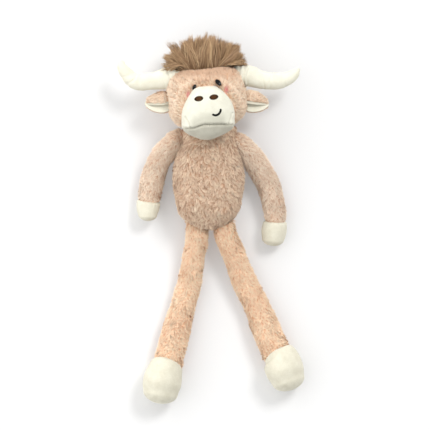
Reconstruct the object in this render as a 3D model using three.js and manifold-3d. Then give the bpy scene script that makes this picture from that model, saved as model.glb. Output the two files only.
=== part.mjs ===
// A long-legged plush highland cow, lying on its back as on a table.
// Millimetres. +Z is up, out of the belly and the face, +Y runs towards the head and +X to the
// viewer's right. The origin is on the table under the middle of the torso.
// "left" and "right" are the viewer's, looking down at the face.

import * as THREE from "three";
import { mergeVertices } from "three/addons/utils/BufferGeometryUtils.js";
import Module from "manifold-3d";

const wasm = await Module();
wasm.setup();

// Shared sizes
const gap = 0.3; // air between pieces that touch
const coverWall = 3; // plush fabric with its flattened pile
const minkyWall = 2; // short smooth fabric of the muzzle, horns, hooves and ear linings
const restFlatDepth = 0.5; // how far the underside is pressed flat by the table
const tipShare = 0.3; // how far a rounded tip stands past its last ring, of the ring's half width
const rootFullnessPower = 3; // of the round roots of the limbs: 2 is an ellipsoid, more is boxier
const overrun = 400; // every cutting block runs at least this far past what it cuts

// Torso
const torsoLength = 144;
const torsoBottomY = -64;
const torsoHalfWidth = 47.5;
const torsoHalfDepth = 38;
// share of the length from the bottom, of the half width, of the half depth
const torsoRingShares = [
  [0, 0, 0],
  [0.02, 0.5, 0.45],
  [0.065, 0.68, 0.66],
  [0.132, 0.81, 0.8],
  [0.236, 0.915, 0.93],
  [0.375, 0.985, 1],
  [0.514, 1, 1],
  [0.639, 0.94, 0.96],
  [0.757, 0.86, 0.88],
  [0.861, 0.8, 0.815],
  [0.944, 0.74, 0.76],
  [1, 0.65, 0.68],
  [1, 0, 0],
];

// Head
const headCentreX = -2;
const headCentreY = 107;
const headHalfWidth = 52.3;
const headHalfHeight = 41.5;
const headHalfDepth = 44.5;
const headRollDegrees = 5; // the head leans to the viewer's left
const headFullnessPower = 2.25; // 2 is an ellipsoid, more is boxier
const neckSeatClearance = 1.6; // room for the rolled head to turn on the neck
const faceOpeningHalfWidth = 21;
const faceOpeningHalfHeight = 20;

// Muzzle
const muzzleCentreX = -0.5;
const muzzleCentreY = 88.4;
const muzzleHalfWidth = 35.2;
const muzzleHalfHeight = 35;
const muzzleBackZ = 70;
const muzzleLength = 49;
const muzzleTaperShare = 0.2; // how much narrower the top is than the bottom
const lipSeamDrop = 18.5; // lip seam below the muzzle's centre
const lipSeamTiltDegrees = 5;
// share of the length from the back, of the half width and height
const muzzleRingShares = [
  [0, 0],
  [0.02, 0.55],
  [0.1, 0.8],
  [0.24, 0.95],
  [0.42, 1],
  [0.6, 0.95],
  [0.76, 0.83],
  [0.89, 0.62],
  [0.97, 0.36],
  [1, 0],
];

// Embroidery on the muzzle
const threadThickness = 0.9;
const nostrilHalfWidth = 5.3;
const nostrilHalfHeight = 3.4;
const nostrilSpacing = 19.5;
const nostrilsCentreX = -2.8;
const nostrilsRise = 19.2; // above the muzzle's centre
const nostrilsTiltDegrees = 6;
const smileWidth = 11.5;
const smileStartX = 4.9;
const smileDrop = 3.3; // lowest point of the smile below the muzzle's centre
const smileHeight = 9.2;
const smileStroke = 2.2;
// across and up, as shares of the smile's width and height
const smilePathShares = [
  [0, 0.22],
  [0.3, 0],
  [0.67, 0.32],
  [0.93, 0.62],
  [1, 1],
];

// Safety eyes
const leftEyeX = -18.2;
const leftEyeY = 121.8;
const rightEyeX = 12.9;
const rightEyeY = 127.5;
const eyes = [
  { side: "left", x: leftEyeX, y: leftEyeY, tiltDegrees: -12 },
  { side: "right", x: rightEyeX, y: rightEyeY, tiltDegrees: 24 },
];
const eyeHalfWidth = 3.4;
const eyeHalfHeight = 4.9;
const eyeProud = 3.6;
const eyeShankRadius = 2;
const eyeShankLength = 14;
const eyeSinkDepth = 0.6; // the dome's rim above the fabric
const washerRadius = 6.5;
const washerThickness = 1.6;

// Horns, each a curved tapering run out of the side of the head
const hornRootRadius = 14.5;
const hornDepthShare = 0.93; // depth of its section, of its width
const hornZ = 50;
const hornReach = 66; // root to tip, sideways
const hornRise = 26; // highest point of the tip over the root
const hornRootX = 46;
const leftHornRootY = 133;
const rightHornRootY = 134;
const horns = [
  {
    side: "left",
    sign: -1,
    rootY: leftHornRootY,
    // out, up and radius, as shares of the reach, the rise and the root radius
    runShares: [
      [-0.45, -0.35, 0.55],
      [-0.1, 0, 0.93],
      [0.1, 0, 0.97],
      [0.28, -0.1, 0.83],
      [0.46, -0.14, 0.77],
      [0.63, -0.17, 0.75],
      [0.79, -0.03, 0.69],
      [0.917, 0.33, 0.56],
      [0.98, 0.6, 0.42],
      [0.99, 0.83, 0.27],
    ],
  },
  {
    side: "right",
    sign: 1,
    rootY: rightHornRootY,
    runShares: [
      [-0.45, -0.35, 0.55],
      [-0.1, 0.08, 0.92],
      [0.12, 0.1, 0.95],
      [0.285, -0.035, 0.86],
      [0.445, -0.12, 0.8],
      [0.68, -0.155, 0.76],
      [0.89, -0.03, 0.64],
      [1.03, 0.22, 0.47],
      [1.09, 0.4, 0.27],
    ],
  },
];

// Ears, each a leaf folded forwards over its own lining
const earLength = 27;
const earHalfWidth = 14.6;
const earFoldDepth = 11;
const earStandOff = 1.6; // the back of the leaf starts this far out from its hinge line
const earFrontSetBack = 5; // and the front of its fold this much further out
const earRootRadius = 2.4;
const earHingeInset = 0.4; // hinge line, inside the head's side
const earHingeZ = 44;
const earCoverWall = 2.4;
const leftEarY = 102.5;
const leftEarTipDrop = 1.5;
const rightEarY = 103.5;
const rightEarTipDrop = 3;
const ears = [
  { side: "left", sign: -1, y: leftEarY, tipDrop: leftEarTipDrop },
  { side: "right", sign: 1, y: rightEarY, tipDrop: rightEarTipDrop },
];
// share of the length, of the half width
const earOutlineShares = [
  [0, 0.94],
  [0.25, 1],
  [0.5, 0.93],
  [0.72, 0.7],
  [0.9, 0.5],
  [1, 0.3],
];
// one fold across the ear: up the back, over the top and down the front, as shares of the half
// width and of the fold depth, from the middle of the back
const earFoldShares = [
  [-1, 0.3],
  [-0.6, 0.08],
  [0, 0],
  [0.55, 0.08],
  [0.9, 0.3],
  [1, 0.58],
  [0.84, 0.84],
  [0.45, 0.98],
  [-0.05, 1],
];
const earLiningPoints = 5; // how many points of the fold the lining follows

// Crown patch and hair tuft
const crownCentreX = -6;
const crownHalfWidth = 39;
const crownHalfDepth = 24;
const crownZ = 47;
const patchThickness = 1.2;
const moundHalfHeight = 20;
const moundSink = 6; // centre of the mound, inside the top of the head
const lockRootRadius = 12;
const lockTipRadius = 0.7;
const lockLength = 36;
const lockSpreadDegrees = 132; // across the whole fan
const lockLeanDegrees = 30; // front and back rows lean out this much
const lockRootDepth = 9; // how deep a lock starts inside the mound
const lockLengthShares = [0.92, 1.02, 1.08, 1.14, 1.06, 0.92, 1];
const lockRowShares = [-1, 0, 1]; // back, middle and front rows
const lockSideRowLengthShare = 0.84;

// Arms. Each hangs on a round root that turns in an armhole of the torso.
const shoulderY = 50;
const shoulderZ = 36;
const shoulderRadius = 17;
const shoulderFaceX = 48.2; // nothing but the round root comes nearer the torso's middle
const shoulderRootDepth = 13;
const shoulderBlendLength = 12;
const armReach = 42; // shoulder to hand, sideways
const armDrop = 134; // shoulder to fingertip, downwards
const armLift = 19.5; // shoulder above the lowest part of the arm's middle
const armHalfWidth = 16.8;
const arms = [
  {
    side: "left",
    sign: -1,
    // out from the shoulder, down, below the shoulder, half width and half depth, as shares of
    // the reach, the drop, the lift and the half width
    runShares: [
      [0, 0, 0, 0.9, 0.9],
      [0.3, 0.1, 0.3, 0.96, 0.94],
      [0.54, 0.25, 0.7, 0.98, 0.96],
      [0.68, 0.41, 0.92, 1, 0.97],
      [0.75, 0.56, 0.95, 0.95, 0.93],
      [0.77, 0.645, 0.86, 0.9, 0.88],
      [0.775, 0.7, 0.76, 0.77, 0.77],
      [0.775, 0.732, 0.7, 0.52, 0.54],
    ],
    seamShare: 0.56,
  },
  {
    side: "right",
    sign: 1,
    runShares: [
      [0, 0, 0, 0.9, 0.9],
      [0.26, 0.1, 0.3, 0.97, 0.94],
      [0.52, 0.27, 0.72, 1, 0.97],
      [0.72, 0.46, 0.95, 0.98, 0.96],
      [0.9, 0.64, 1.02, 0.98, 0.96],
      [0.99, 0.77, 1.02, 0.98, 0.97],
      [1, 0.88, 1.02, 0.97, 0.96],
      [1, 0.95, 1.02, 0.82, 0.82],
      [1, 0.985, 1.02, 0.55, 0.56],
    ],
    seamShare: 0.76,
  },
];
const wristSeamTiltDegrees = -9;

// Legs. Each hangs on a round root that turns under the torso's bottom seam.
const hipY = -77;
const hipZ = 28;
const hipRadius = 15;
const legDrop = 208; // hip to sole, downwards
const legLift = 11.5; // hip above the lowest part of the leg's middle
const footRise = 11; // middle of the foot over the lowest part of the leg's middle
const legHalfWidth = 20;
const footHalfWidth = 25.6;
const footHalfDepth = 28;
const footSeamTiltDegrees = 20;
const leftHipX = -15.8;
const leftHipHalfWidth = 14.8;
const leftLegReach = -47;
const rightHipX = 20.4;
const rightHipHalfWidth = 15.6;
const rightLegReach = 84;
const legs = [
  {
    side: "left",
    hipX: leftHipX,
    hipHalfWidth: leftHipHalfWidth,
    reach: leftLegReach,
    // out, down, below the hip, half width and half depth, as shares of the reach, the drop,
    // the lift and the leg's half width
    runShares: [
      [0, 0, 0, 0.72, 0.7],
      [0.07, 0.1, 0.5, 0.76, 0.75],
      [0.19, 0.265, 1, 0.82, 0.79],
      [0.355, 0.4, 1.05, 0.85, 0.83],
      [0.535, 0.55, 0.95, 0.95, 0.91],
      [0.71, 0.7, 0.7, 0.98, 0.97],
      [0.77, 0.76, 0.5, 1.02, 1.03],
    ],
    // out, down, share of the foot's rise, of its half width and of its half depth
    footShares: [
      [0.87, 0.815, 0.8, 0.94, 0.92],
      [0.94, 0.885, 1, 1, 1],
      [0.98, 0.945, 1, 0.88, 0.88],
      [1, 0.98, 0.98, 0.65, 0.65],
      [1, 0.996, 0.97, 0.42, 0.42],
    ],
    seamShare: 0.745,
  },
  {
    side: "right",
    hipX: rightHipX,
    hipHalfWidth: rightHipHalfWidth,
    reach: rightLegReach,
    runShares: [
      [0, 0, 0, 0.74, 0.7],
      [0.18, 0.12, 0.5, 0.78, 0.75],
      [0.32, 0.265, 1, 0.86, 0.79],
      [0.48, 0.39, 1.05, 0.88, 0.84],
      [0.655, 0.56, 0.95, 0.98, 0.93],
      [0.775, 0.67, 0.7, 0.98, 0.97],
      [0.82, 0.715, 0.5, 1.02, 1.03],
    ],
    footShares: [
      [0.885, 0.75, 0.8, 0.94, 0.92],
      [0.94, 0.815, 1, 0.98, 1],
      [0.985, 0.87, 1, 0.87, 0.88],
      [1.01, 0.905, 0.98, 0.65, 0.65],
      [1.02, 0.921, 0.97, 0.42, 0.42],
    ],
    seamShare: 0.7,
  },
];

// Counts of faces round each form
const torsoSides = 20;
const headSides = 20;
const headRings = 10;
const muzzleSides = 16;
const limbSides = 12;
const legRings = 12;
const armRings = 9;
const hornSides = 10;
const hornRings = 11;
const lockSides = 4;
const lockSteps = 3;
const rootSides = 16;
const rootSteps = 8;
const smallSides = 10;
const insideSidesShare = 0.5; // inner faces and stuffing have fewer sides than the outer faces
const seamSearchSteps = 108; // how finely a limb's middle is walked to find its seam

// Colours by eye from the toy
const dustyPink = { color: 0xcda58c, roughness: 0.95, metalness: 0 };
const peach = { color: 0xe3bfa4, roughness: 0.95, metalness: 0 };
const cream = { color: 0xf4f0e0, roughness: 0.85, metalness: 0 };
const brownHair = { color: 0x9c7d64, roughness: 0.8, metalness: 0 };
const brownThread = { color: 0x5a3a28, roughness: 0.6, metalness: 0 };
const blackThread = { color: 0x1c1a1a, roughness: 0.6, metalness: 0 };
const blackGloss = { color: 0x0b0a0a, roughness: 0.08, metalness: 0 };
const whiteFibre = { color: 0xf7f7f5, roughness: 1, metalness: 0 };
const whitePlastic = { color: 0xe9e7e2, roughness: 0.5, metalness: 0 };

const toRadians = THREE.MathUtils.degToRad;
const point = (x, y, z) => new THREE.Vector3(x, y, z);
const headCentre = point(headCentreX, headCentreY, headHalfDepth - restFlatDepth);

// Solids

// A closed three.js geometry as a solid that can be joined and cut
function solidOf(geometry) {
  geometry.deleteAttribute("normal");
  geometry.deleteAttribute("uv");
  const merged = mergeVertices(geometry);
  const mesh = new wasm.Mesh({
    numProp: 3,
    vertProperties: merged.attributes.position.array,
    triVerts: new Uint32Array(merged.index.array),
  });
  return new wasm.Manifold(mesh);
}

function geometryOf(solid) {
  const mesh = solid.getMesh();
  const geometry = new THREE.BufferGeometry();
  geometry.setAttribute("position", new THREE.BufferAttribute(mesh.vertProperties, 3));
  geometry.setIndex(new THREE.BufferAttribute(mesh.triVerts, 1));
  geometry.computeVertexNormals();
  return geometry;
}

// A skin over rings of equally many points, closed to a point at both ends
function skinOver(rings, first, last) {
  const sides = rings[0].length;
  const positions = [first, ...rings.flat(), last].flatMap((p) => [p.x, p.y, p.z]);
  const lastIndex = rings.length * sides + 1;
  const indices = [];
  for (let side = 0; side < sides; side += 1) {
    const next = (side + 1) % sides;
    indices.push(0, 1 + next, 1 + side);
    for (let ring = 0; ring < rings.length - 1; ring += 1) {
      const low = 1 + ring * sides;
      const high = low + sides;
      indices.push(low + side, low + next, high + next, low + side, high + next, high + side);
    }
    const top = 1 + (rings.length - 1) * sides;
    indices.push(top + side, top + next, lastIndex);
  }
  const geometry = new THREE.BufferGeometry();
  geometry.setAttribute("position", new THREE.Float32BufferAttribute(positions, 3));
  geometry.setIndex(indices);
  return solidOf(geometry);
}

// One ring of points: an ellipse with the given half axes, as vectors
function ellipseRing(centre, across, up, sides) {
  return Array.from({ length: sides }, (_, side) => {
    const angle = (2 * Math.PI * side) / sides;
    return centre
      .clone()
      .addScaledVector(across, Math.cos(angle))
      .addScaledVector(up, Math.sin(angle));
  });
}

// Inner faces and the stuffing against them are coarser than the outer faces
function sidesFor(outerSides, grow) {
  return grow < 0 ? outerSides * insideSidesShare : outerSides;
}

// A soft tapering run along a curve that keeps close to level: across is square to its course
// and up is +Z. Each station has a centre, a half width and a half depth.
function softRun(stations, ringCount, outerSides, grow) {
  const sides = sidesFor(outerSides, grow);
  const middle = new THREE.CatmullRomCurve3(stations.map((s) => s.centre));
  const halfSizes = new THREE.SplineCurve(
    stations.map((s) => new THREE.Vector2(s.halfWidth, s.halfDepth)),
  );
  const endShare = 1 + grow / middle.getLength();
  const rings = [];
  for (let ring = 0; ring <= ringCount; ring += 1) {
    const share = Math.min(1, (endShare * ring) / ringCount);
    const course = middle.getTangent(share).setZ(0).normalize();
    const across = point(-course.y, course.x, 0);
    const half = halfSizes.getPoint(share);
    across.multiplyScalar(half.x + grow);
    const up = point(0, 0, half.y + grow);
    rings.push(ellipseRing(middle.getPoint(share), across, up, sides));
  }
  const end = Math.min(1, endShare);
  const last = stations[stations.length - 1];
  const tip = middle
    .getPoint(end)
    .addScaledVector(middle.getTangent(end), last.halfWidth * tipShare + Math.max(0, grow));
  return skinOver(rings, middle.getPoint(0), tip);
}

// A box from one corner to the other
function block(low, high) {
  const size = high.clone().sub(low);
  const middle = low.clone().add(high).divideScalar(2);
  const geometry = new THREE.BoxGeometry(size.x, size.y, size.z);
  return solidOf(geometry.translate(middle.x, middle.y, middle.z));
}

// Everything on the far side of a plane, as a large block turned to it
function farSide(origin, normal) {
  const geometry = new THREE.BoxGeometry(2 * overrun, 2 * overrun, overrun);
  geometry.translate(0, 0, overrun / 2);
  const turn = new THREE.Quaternion().setFromUnitVectors(point(0, 0, 1), normal);
  geometry.applyQuaternion(turn);
  return solidOf(geometry.translate(origin.x, origin.y, origin.z));
}

// Whatever the table presses flat is cut off at the table
function restOnTable(solid) {
  return solid.subtract(farSide(point(0, 0, 0), point(0, 0, -1)));
}

// How much wider a seat with flat sides is made, so that a root of as many sides turns in it
const seatScale = 1 / Math.cos(Math.PI / rootSides);

// A round body about a line along X, with its reach to lower and to higher X
function roundRoot(centre, radius, reachLow, reachHigh, grow) {
  const wide = grow > 0 ? (radius + grow) * seatScale : radius + grow;
  const profile = [];
  for (let step = 0; step <= rootSteps; step += 1) {
    const share = (2 * step) / rootSteps - 1;
    const reach = (share < 0 ? reachLow : reachHigh) + grow;
    const height = (1 - Math.abs(share) ** rootFullnessPower) ** (1 / rootFullnessPower);
    const atEnd = step === 0 || step === rootSteps;
    profile.push(new THREE.Vector2(atEnd ? 0 : height * wide, share * reach));
  }
  const geometry = new THREE.LatheGeometry(profile, rootSides);
  geometry.rotateZ(-Math.PI / 2);
  return solidOf(geometry.translate(centre.x, centre.y, centre.z));
}

// Torso

function torsoForm(grow) {
  const sides = sidesFor(torsoSides, grow);
  const at = (row) => {
    const [lengthShare, widthShare, depthShare] = row;
    const y = torsoBottomY - grow + (torsoLength + grow) * lengthShare;
    const centre = point(0, y, torsoHalfDepth - restFlatDepth);
    const across = point(-(torsoHalfWidth * widthShare + grow), 0, 0);
    const up = point(0, 0, torsoHalfDepth * depthShare + grow);
    return ellipseRing(centre, across, up, sides);
  };
  const rings = torsoRingShares.slice(1, -1).map(at);
  const height = torsoHalfDepth - restFlatDepth;
  const bottom = point(0, torsoBottomY - grow, height);
  const top = point(0, torsoBottomY + torsoLength, height);
  return skinOver(rings, bottom, top);
}

// Room for the head to turn on the neck: the head's widest size, spun about the neck's line
function neckSeat(clearance) {
  const geometry = new THREE.SphereGeometry(1, headSides, headSides / 2);
  geometry.scale(
    headHalfWidth + clearance,
    headHalfHeight + clearance,
    headHalfWidth + clearance,
  );
  return solidOf(geometry.translate(headCentre.x, headCentre.y, headCentre.z));
}

// Room for the limbs: the armholes, the seats of the hips and the face that a raised leg meets
function limbRoom(solid) {
  let cut = solid;
  for (const arm of arms) {
    cut = cut.subtract(shoulderRoot(arm, gap));
  }
  for (const leg of legs) {
    cut = cut.subtract(hipRoot(leg, gap));
  }
  const seatY = hipY + hipRadius + gap;
  return cut.subtract(
    block(point(-overrun, seatY - overrun, hipZ), point(overrun, seatY, hipZ + overrun)),
  );
}

function makeTorso() {
  const room = (solid) => limbRoom(solid.subtract(neckSeat(neckSeatClearance)));
  const cover = torsoForm(0).subtract(torsoForm(-coverWall));
  return {
    torso_cover: { solid: restOnTable(room(cover)), finish: dustyPink },
    torso_stuffing: { solid: room(torsoForm(-coverWall - gap)), finish: whiteFibre },
  };
}

// Head

function headForm(grow) {
  const sides = sidesFor(headSides, grow);
  const rings = [];
  for (let ring = 1; ring < headRings; ring += 1) {
    const angle = Math.PI * (ring / headRings - 1 / 2);
    const share = Math.sin(angle);
    const width = (1 - Math.abs(share) ** headFullnessPower) ** (1 / headFullnessPower);
    const centre = point(0, 0, share * (headHalfDepth + grow));
    const across = point(width * (headHalfWidth + grow), 0, 0);
    const up = point(0, width * (headHalfHeight + grow), 0);
    rings.push(ellipseRing(centre, across, up, sides));
  }
  const depth = headHalfDepth + grow;
  const turn = new THREE.Matrix4()
    .makeRotationZ(toRadians(headRollDegrees))
    .setPosition(headCentre);
  const placed = rings.map((ring) => ring.map((p) => p.applyMatrix4(turn)));
  const back = point(0, 0, -depth).applyMatrix4(turn);
  const front = point(0, 0, depth).applyMatrix4(turn);
  return skinOver(placed, back, front);
}

// The head's surface over a place in the picture plane, and its outward direction there
function headSurface(x, y) {
  const flat = point(x - headCentre.x, y - headCentre.y, 0);
  flat.applyAxisAngle(point(0, 0, 1), -toRadians(headRollDegrees));
  const across = flat.x / headHalfWidth;
  const up = flat.y / headHalfHeight;
  const ahead = (1 - Math.hypot(across, up) ** headFullnessPower) ** (1 / headFullnessPower);
  const normal = point(across / headHalfWidth, up / headHalfHeight, ahead / headHalfDepth);
  normal.applyAxisAngle(point(0, 0, 1), toRadians(headRollDegrees)).normalize();
  return { place: point(x, y, headCentre.z + headHalfDepth * ahead), normal };
}

function faceOpening() {
  const geometry = new THREE.CylinderGeometry(1, 1, 1, rootSides);
  geometry.rotateX(Math.PI / 2);
  geometry.scale(faceOpeningHalfWidth, faceOpeningHalfHeight, headHalfDepth + overrun);
  geometry.translate(0, 0, (headHalfDepth + overrun) / 2);
  return solidOf(geometry.translate(muzzleCentreX, muzzleCentreY, headCentre.z));
}

function makeHead() {
  let cover = headForm(0).subtract(headForm(-coverWall)).subtract(faceOpening());
  let stuffing = headForm(-coverWall - gap);
  for (const eye of eyes) {
    cover = cover.subtract(eyeShank(eye, gap));
    stuffing = stuffing.subtract(eyeShank(eye, gap)).subtract(eyeWasher(eye, gap));
  }
  for (const ear of ears) {
    cover = cover.subtract(earRoot(ear, gap));
    stuffing = stuffing.subtract(earRoot(ear, gap));
  }
  return {
    head_cover: { solid: restOnTable(cover), finish: dustyPink },
    head_stuffing: { solid: stuffing, finish: whiteFibre },
  };
}

// Safety eyes: a glossy dome whose shank goes through the cover into a lock washer

// Places a geometry made about +Z onto the face, depth above or below the cover's surface
function onFace(geometry, eye, depth) {
  const { place, normal } = headSurface(eye.x, eye.y);
  geometry.rotateZ(toRadians(eye.tiltDegrees));
  geometry.applyQuaternion(new THREE.Quaternion().setFromUnitVectors(point(0, 0, 1), normal));
  place.addScaledVector(normal, depth);
  return solidOf(geometry.translate(place.x, place.y, place.z));
}

function eyeShank(eye, grow) {
  const radius = eyeShankRadius + grow;
  const length = eyeShankLength + 2 * grow;
  const geometry = new THREE.CylinderGeometry(radius, radius, length, smallSides);
  geometry.rotateX(Math.PI / 2);
  return onFace(geometry, eye, eyeSinkDepth - eyeShankLength / 2);
}

function eyeWasher(eye, grow) {
  const radius = washerRadius + grow;
  const thickness = washerThickness + 2 * grow;
  const geometry = new THREE.CylinderGeometry(radius, radius, thickness, smallSides);
  geometry.rotateX(Math.PI / 2);
  return onFace(geometry, eye, -coverWall - 2 * washerThickness);
}

function eyeDome(eye) {
  const geometry = new THREE.SphereGeometry(1, smallSides, smallSides / 2);
  geometry.rotateX(Math.PI / 2);
  geometry.scale(eyeHalfWidth, eyeHalfHeight, eyeProud);
  return onFace(geometry, eye, eyeSinkDepth);
}

function makeEye(eye) {
  const dome = eyeDome(eye).subtract(headForm(gap));
  const washer = eyeWasher(eye, 0).subtract(eyeShank(eye, gap));
  return {
    [`eye_${eye.side}`]: { solid: dome.add(eyeShank(eye, 0)), finish: blackGloss },
    [`eye_washer_${eye.side}`]: { solid: washer, finish: whitePlastic },
  };
}

// Muzzle

function muzzleForm(grow) {
  const sides = sidesFor(muzzleSides, grow);
  const ringAt = ([lengthShare, sizeShare]) => {
    const width = muzzleHalfWidth * sizeShare + grow;
    const height = muzzleHalfHeight * sizeShare + grow;
    const z = muzzleBackZ - grow + (muzzleLength + 2 * grow) * lengthShare;
    return Array.from({ length: sides }, (_, side) => {
      const angle = (2 * Math.PI * side) / sides;
      const rise = Math.sin(angle);
      const narrowing = 1 - muzzleTaperShare * rise - muzzleTaperShare / 2;
      const x = muzzleCentreX + (Math.cos(angle) * width * narrowing) / (1 - muzzleTaperShare / 4);
      return point(x, muzzleCentreY + rise * height, z);
    });
  };
  const rings = muzzleRingShares.slice(1, -1).map(ringAt);
  const back = point(muzzleCentreX, muzzleCentreY, muzzleBackZ - grow);
  const front = point(muzzleCentreX, muzzleCentreY, muzzleBackZ + muzzleLength + grow);
  return skinOver(rings, back, front);
}

// A layer of thread on the muzzle inside an outline in the picture plane
function threadLayer(shape) {
  const geometry = new THREE.ExtrudeGeometry(shape, {
    depth: muzzleLength + overrun,
    bevelEnabled: false,
    curveSegments: smallSides,
  });
  const prism = solidOf(geometry.translate(0, 0, muzzleBackZ + muzzleLength / 2));
  return prism.intersect(muzzleForm(gap + threadThickness)).subtract(muzzleForm(gap));
}

function nostrilShape(sign) {
  const tilt = toRadians(nostrilsTiltDegrees);
  const across = (sign * nostrilSpacing) / 2;
  const x = nostrilsCentreX + across * Math.cos(tilt);
  const y = muzzleCentreY + nostrilsRise + across * Math.sin(tilt);
  const shape = new THREE.Shape();
  shape.absellipse(x, y, nostrilHalfWidth, nostrilHalfHeight, 0, 2 * Math.PI, false, tilt);
  return shape;
}

function smileShape() {
  const centres = smilePathShares.map(([across, up]) => {
    const y = muzzleCentreY - smileDrop + smileHeight * up;
    return new THREE.Vector2(smileStartX + smileWidth * across, y);
  });
  const curve = new THREE.SplineCurve(centres);
  const left = [];
  const right = [];
  for (const share of smilePathShares.map((_, step) => step / (smilePathShares.length - 1))) {
    const course = curve.getTangent(share);
    const side = new THREE.Vector2(-course.y, course.x).multiplyScalar(smileStroke / 2);
    left.push(curve.getPoint(share).add(side));
    right.unshift(curve.getPoint(share).sub(side));
  }
  return new THREE.Shape([...left, ...right]);
}

function makeMuzzle() {
  const head = headForm(gap);
  const cover = muzzleForm(0).subtract(muzzleForm(-minkyWall)).subtract(head);
  const tilt = toRadians(lipSeamTiltDegrees);
  const seam = point(muzzleCentreX, muzzleCentreY - lipSeamDrop, 0);
  const down = point(Math.sin(tilt), -Math.cos(tilt), 0);
  const below = farSide(seam.clone().addScaledVector(down, gap / 2), down);
  const above = farSide(seam.clone().addScaledVector(down, -gap / 2), down.clone().negate());
  return {
    muzzle_upper: { solid: cover.intersect(above), finish: cream },
    muzzle_chin: { solid: cover.intersect(below), finish: cream },
    muzzle_stuffing: {
      solid: muzzleForm(-minkyWall - gap).subtract(head),
      finish: whiteFibre,
    },
    nostril_left: { solid: threadLayer(nostrilShape(-1)), finish: brownThread },
    nostril_right: { solid: threadLayer(nostrilShape(1)), finish: brownThread },
    smile_stitch: { solid: threadLayer(smileShape()), finish: blackThread },
  };
}

// Horns

function hornForm(horn, grow) {
  const stations = horn.runShares.map(([out, up, size]) => {
    const x = headCentreX + horn.sign * (hornRootX + hornReach * out);
    return {
      centre: point(x, horn.rootY + hornRise * up, hornZ),
      halfWidth: hornRootRadius * size,
      halfDepth: hornRootRadius * size * hornDepthShare,
    };
  });
  return softRun(stations, hornRings, hornSides, grow);
}

function makeHorn(horn) {
  const head = headForm(gap);
  const cover = hornForm(horn, 0).subtract(hornForm(horn, -minkyWall)).subtract(head);
  const stuffing = hornForm(horn, -minkyWall - gap).subtract(head);
  return {
    [`horn_cover_${horn.side}`]: { solid: cover, finish: cream },
    [`horn_stuffing_${horn.side}`]: { solid: stuffing, finish: whiteFibre },
  };
}

// Ears

// The line that an ear flaps about, along Y
function earHinge(ear) {
  const x = headCentreX + ear.sign * (headHalfWidth - earHingeInset);
  return point(x, ear.y, earHingeZ);
}

// The stitched root of an ear, round about its hinge line
function earRoot(ear, grow) {
  const radius = earRootRadius + grow;
  const [, rootShare] = earOutlineShares[0];
  const length = 2 * (earHalfWidth * rootShare + grow);
  const geometry = new THREE.CylinderGeometry(radius, radius, length, smallSides);
  const hinge = earHinge(ear);
  return solidOf(geometry.translate(hinge.x, hinge.y, hinge.z));
}

// A folded strip across the ear at each place along it: the first points of the fold, then back
// again one wall further in. The walls thin out with the width towards the tip.
function earLayer(ear, pointCount, wallsIn, airIn, wall) {
  const hinge = earHinge(ear);
  const shares = earFoldShares.map((_, step) => step / (earFoldShares.length - 1));
  const rings = earOutlineShares.map(([lengthShare, widthShare]) => {
    const out = earStandOff + earLength * lengthShare;
    const setBack = (earFrontSetBack / earFoldDepth) * (1 - lengthShare);
    const y = hinge.y - ear.tipDrop * lengthShare;
    const line = new THREE.SplineCurve(
      earFoldShares.map(
        ([up, ahead]) =>
          new THREE.Vector2(up * earHalfWidth * widthShare, ahead * earFoldDepth * widthShare),
      ),
    );
    const inwards = (share, distance) => {
      const course = line.getTangent(share);
      const inside = new THREE.Vector2(-course.y, course.x);
      return line.getPoint(share).addScaledVector(inside, distance);
    };
    const near = wallsIn * widthShare + airIn;
    const far = near + wall * widthShare;
    const used = shares.slice(0, pointCount);
    const strip = [
      ...used.map((share) => inwards(share, near)),
      ...used.reverse().map((share) => inwards(share, far)),
    ];
    const ring = strip.map((p) => {
      const x = hinge.x + ear.sign * (out + setBack * p.y);
      return point(x, y + p.x, hinge.z + p.y - earCoverWall / 2);
    });
    return ear.sign > 0 ? ring : ring.reverse();
  });
  const middle = (ring) => {
    const across = ring.length / 4;
    const inner = Math.floor(across);
    return ring[inner].clone().add(ring[ring.length - 1 - inner]).divideScalar(2);
  };
  return skinOver(rings, middle(rings[0]), middle(rings[rings.length - 1]));
}

function makeEar(ear) {
  const foldPoints = earFoldShares.length;
  const outer = earLayer(ear, foldPoints, 0, 0, earCoverWall).add(earRoot(ear, 0));
  const lining = earLayer(ear, earLiningPoints, earCoverWall, gap, minkyWall);
  return {
    [`ear_outer_${ear.side}`]: { solid: outer, finish: dustyPink },
    [`ear_lining_${ear.side}`]: { solid: lining, finish: cream },
  };
}

// Crown patch and hair

function crownEllipsoid(grow) {
  const geometry = new THREE.SphereGeometry(1, rootSides, rootSides / 2);
  geometry.scale(crownHalfWidth + grow, moundHalfHeight + grow, crownHalfDepth + grow);
  const top = headCentreY + headHalfHeight - moundSink;
  return solidOf(geometry.translate(crownCentreX, top, crownZ));
}

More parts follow.
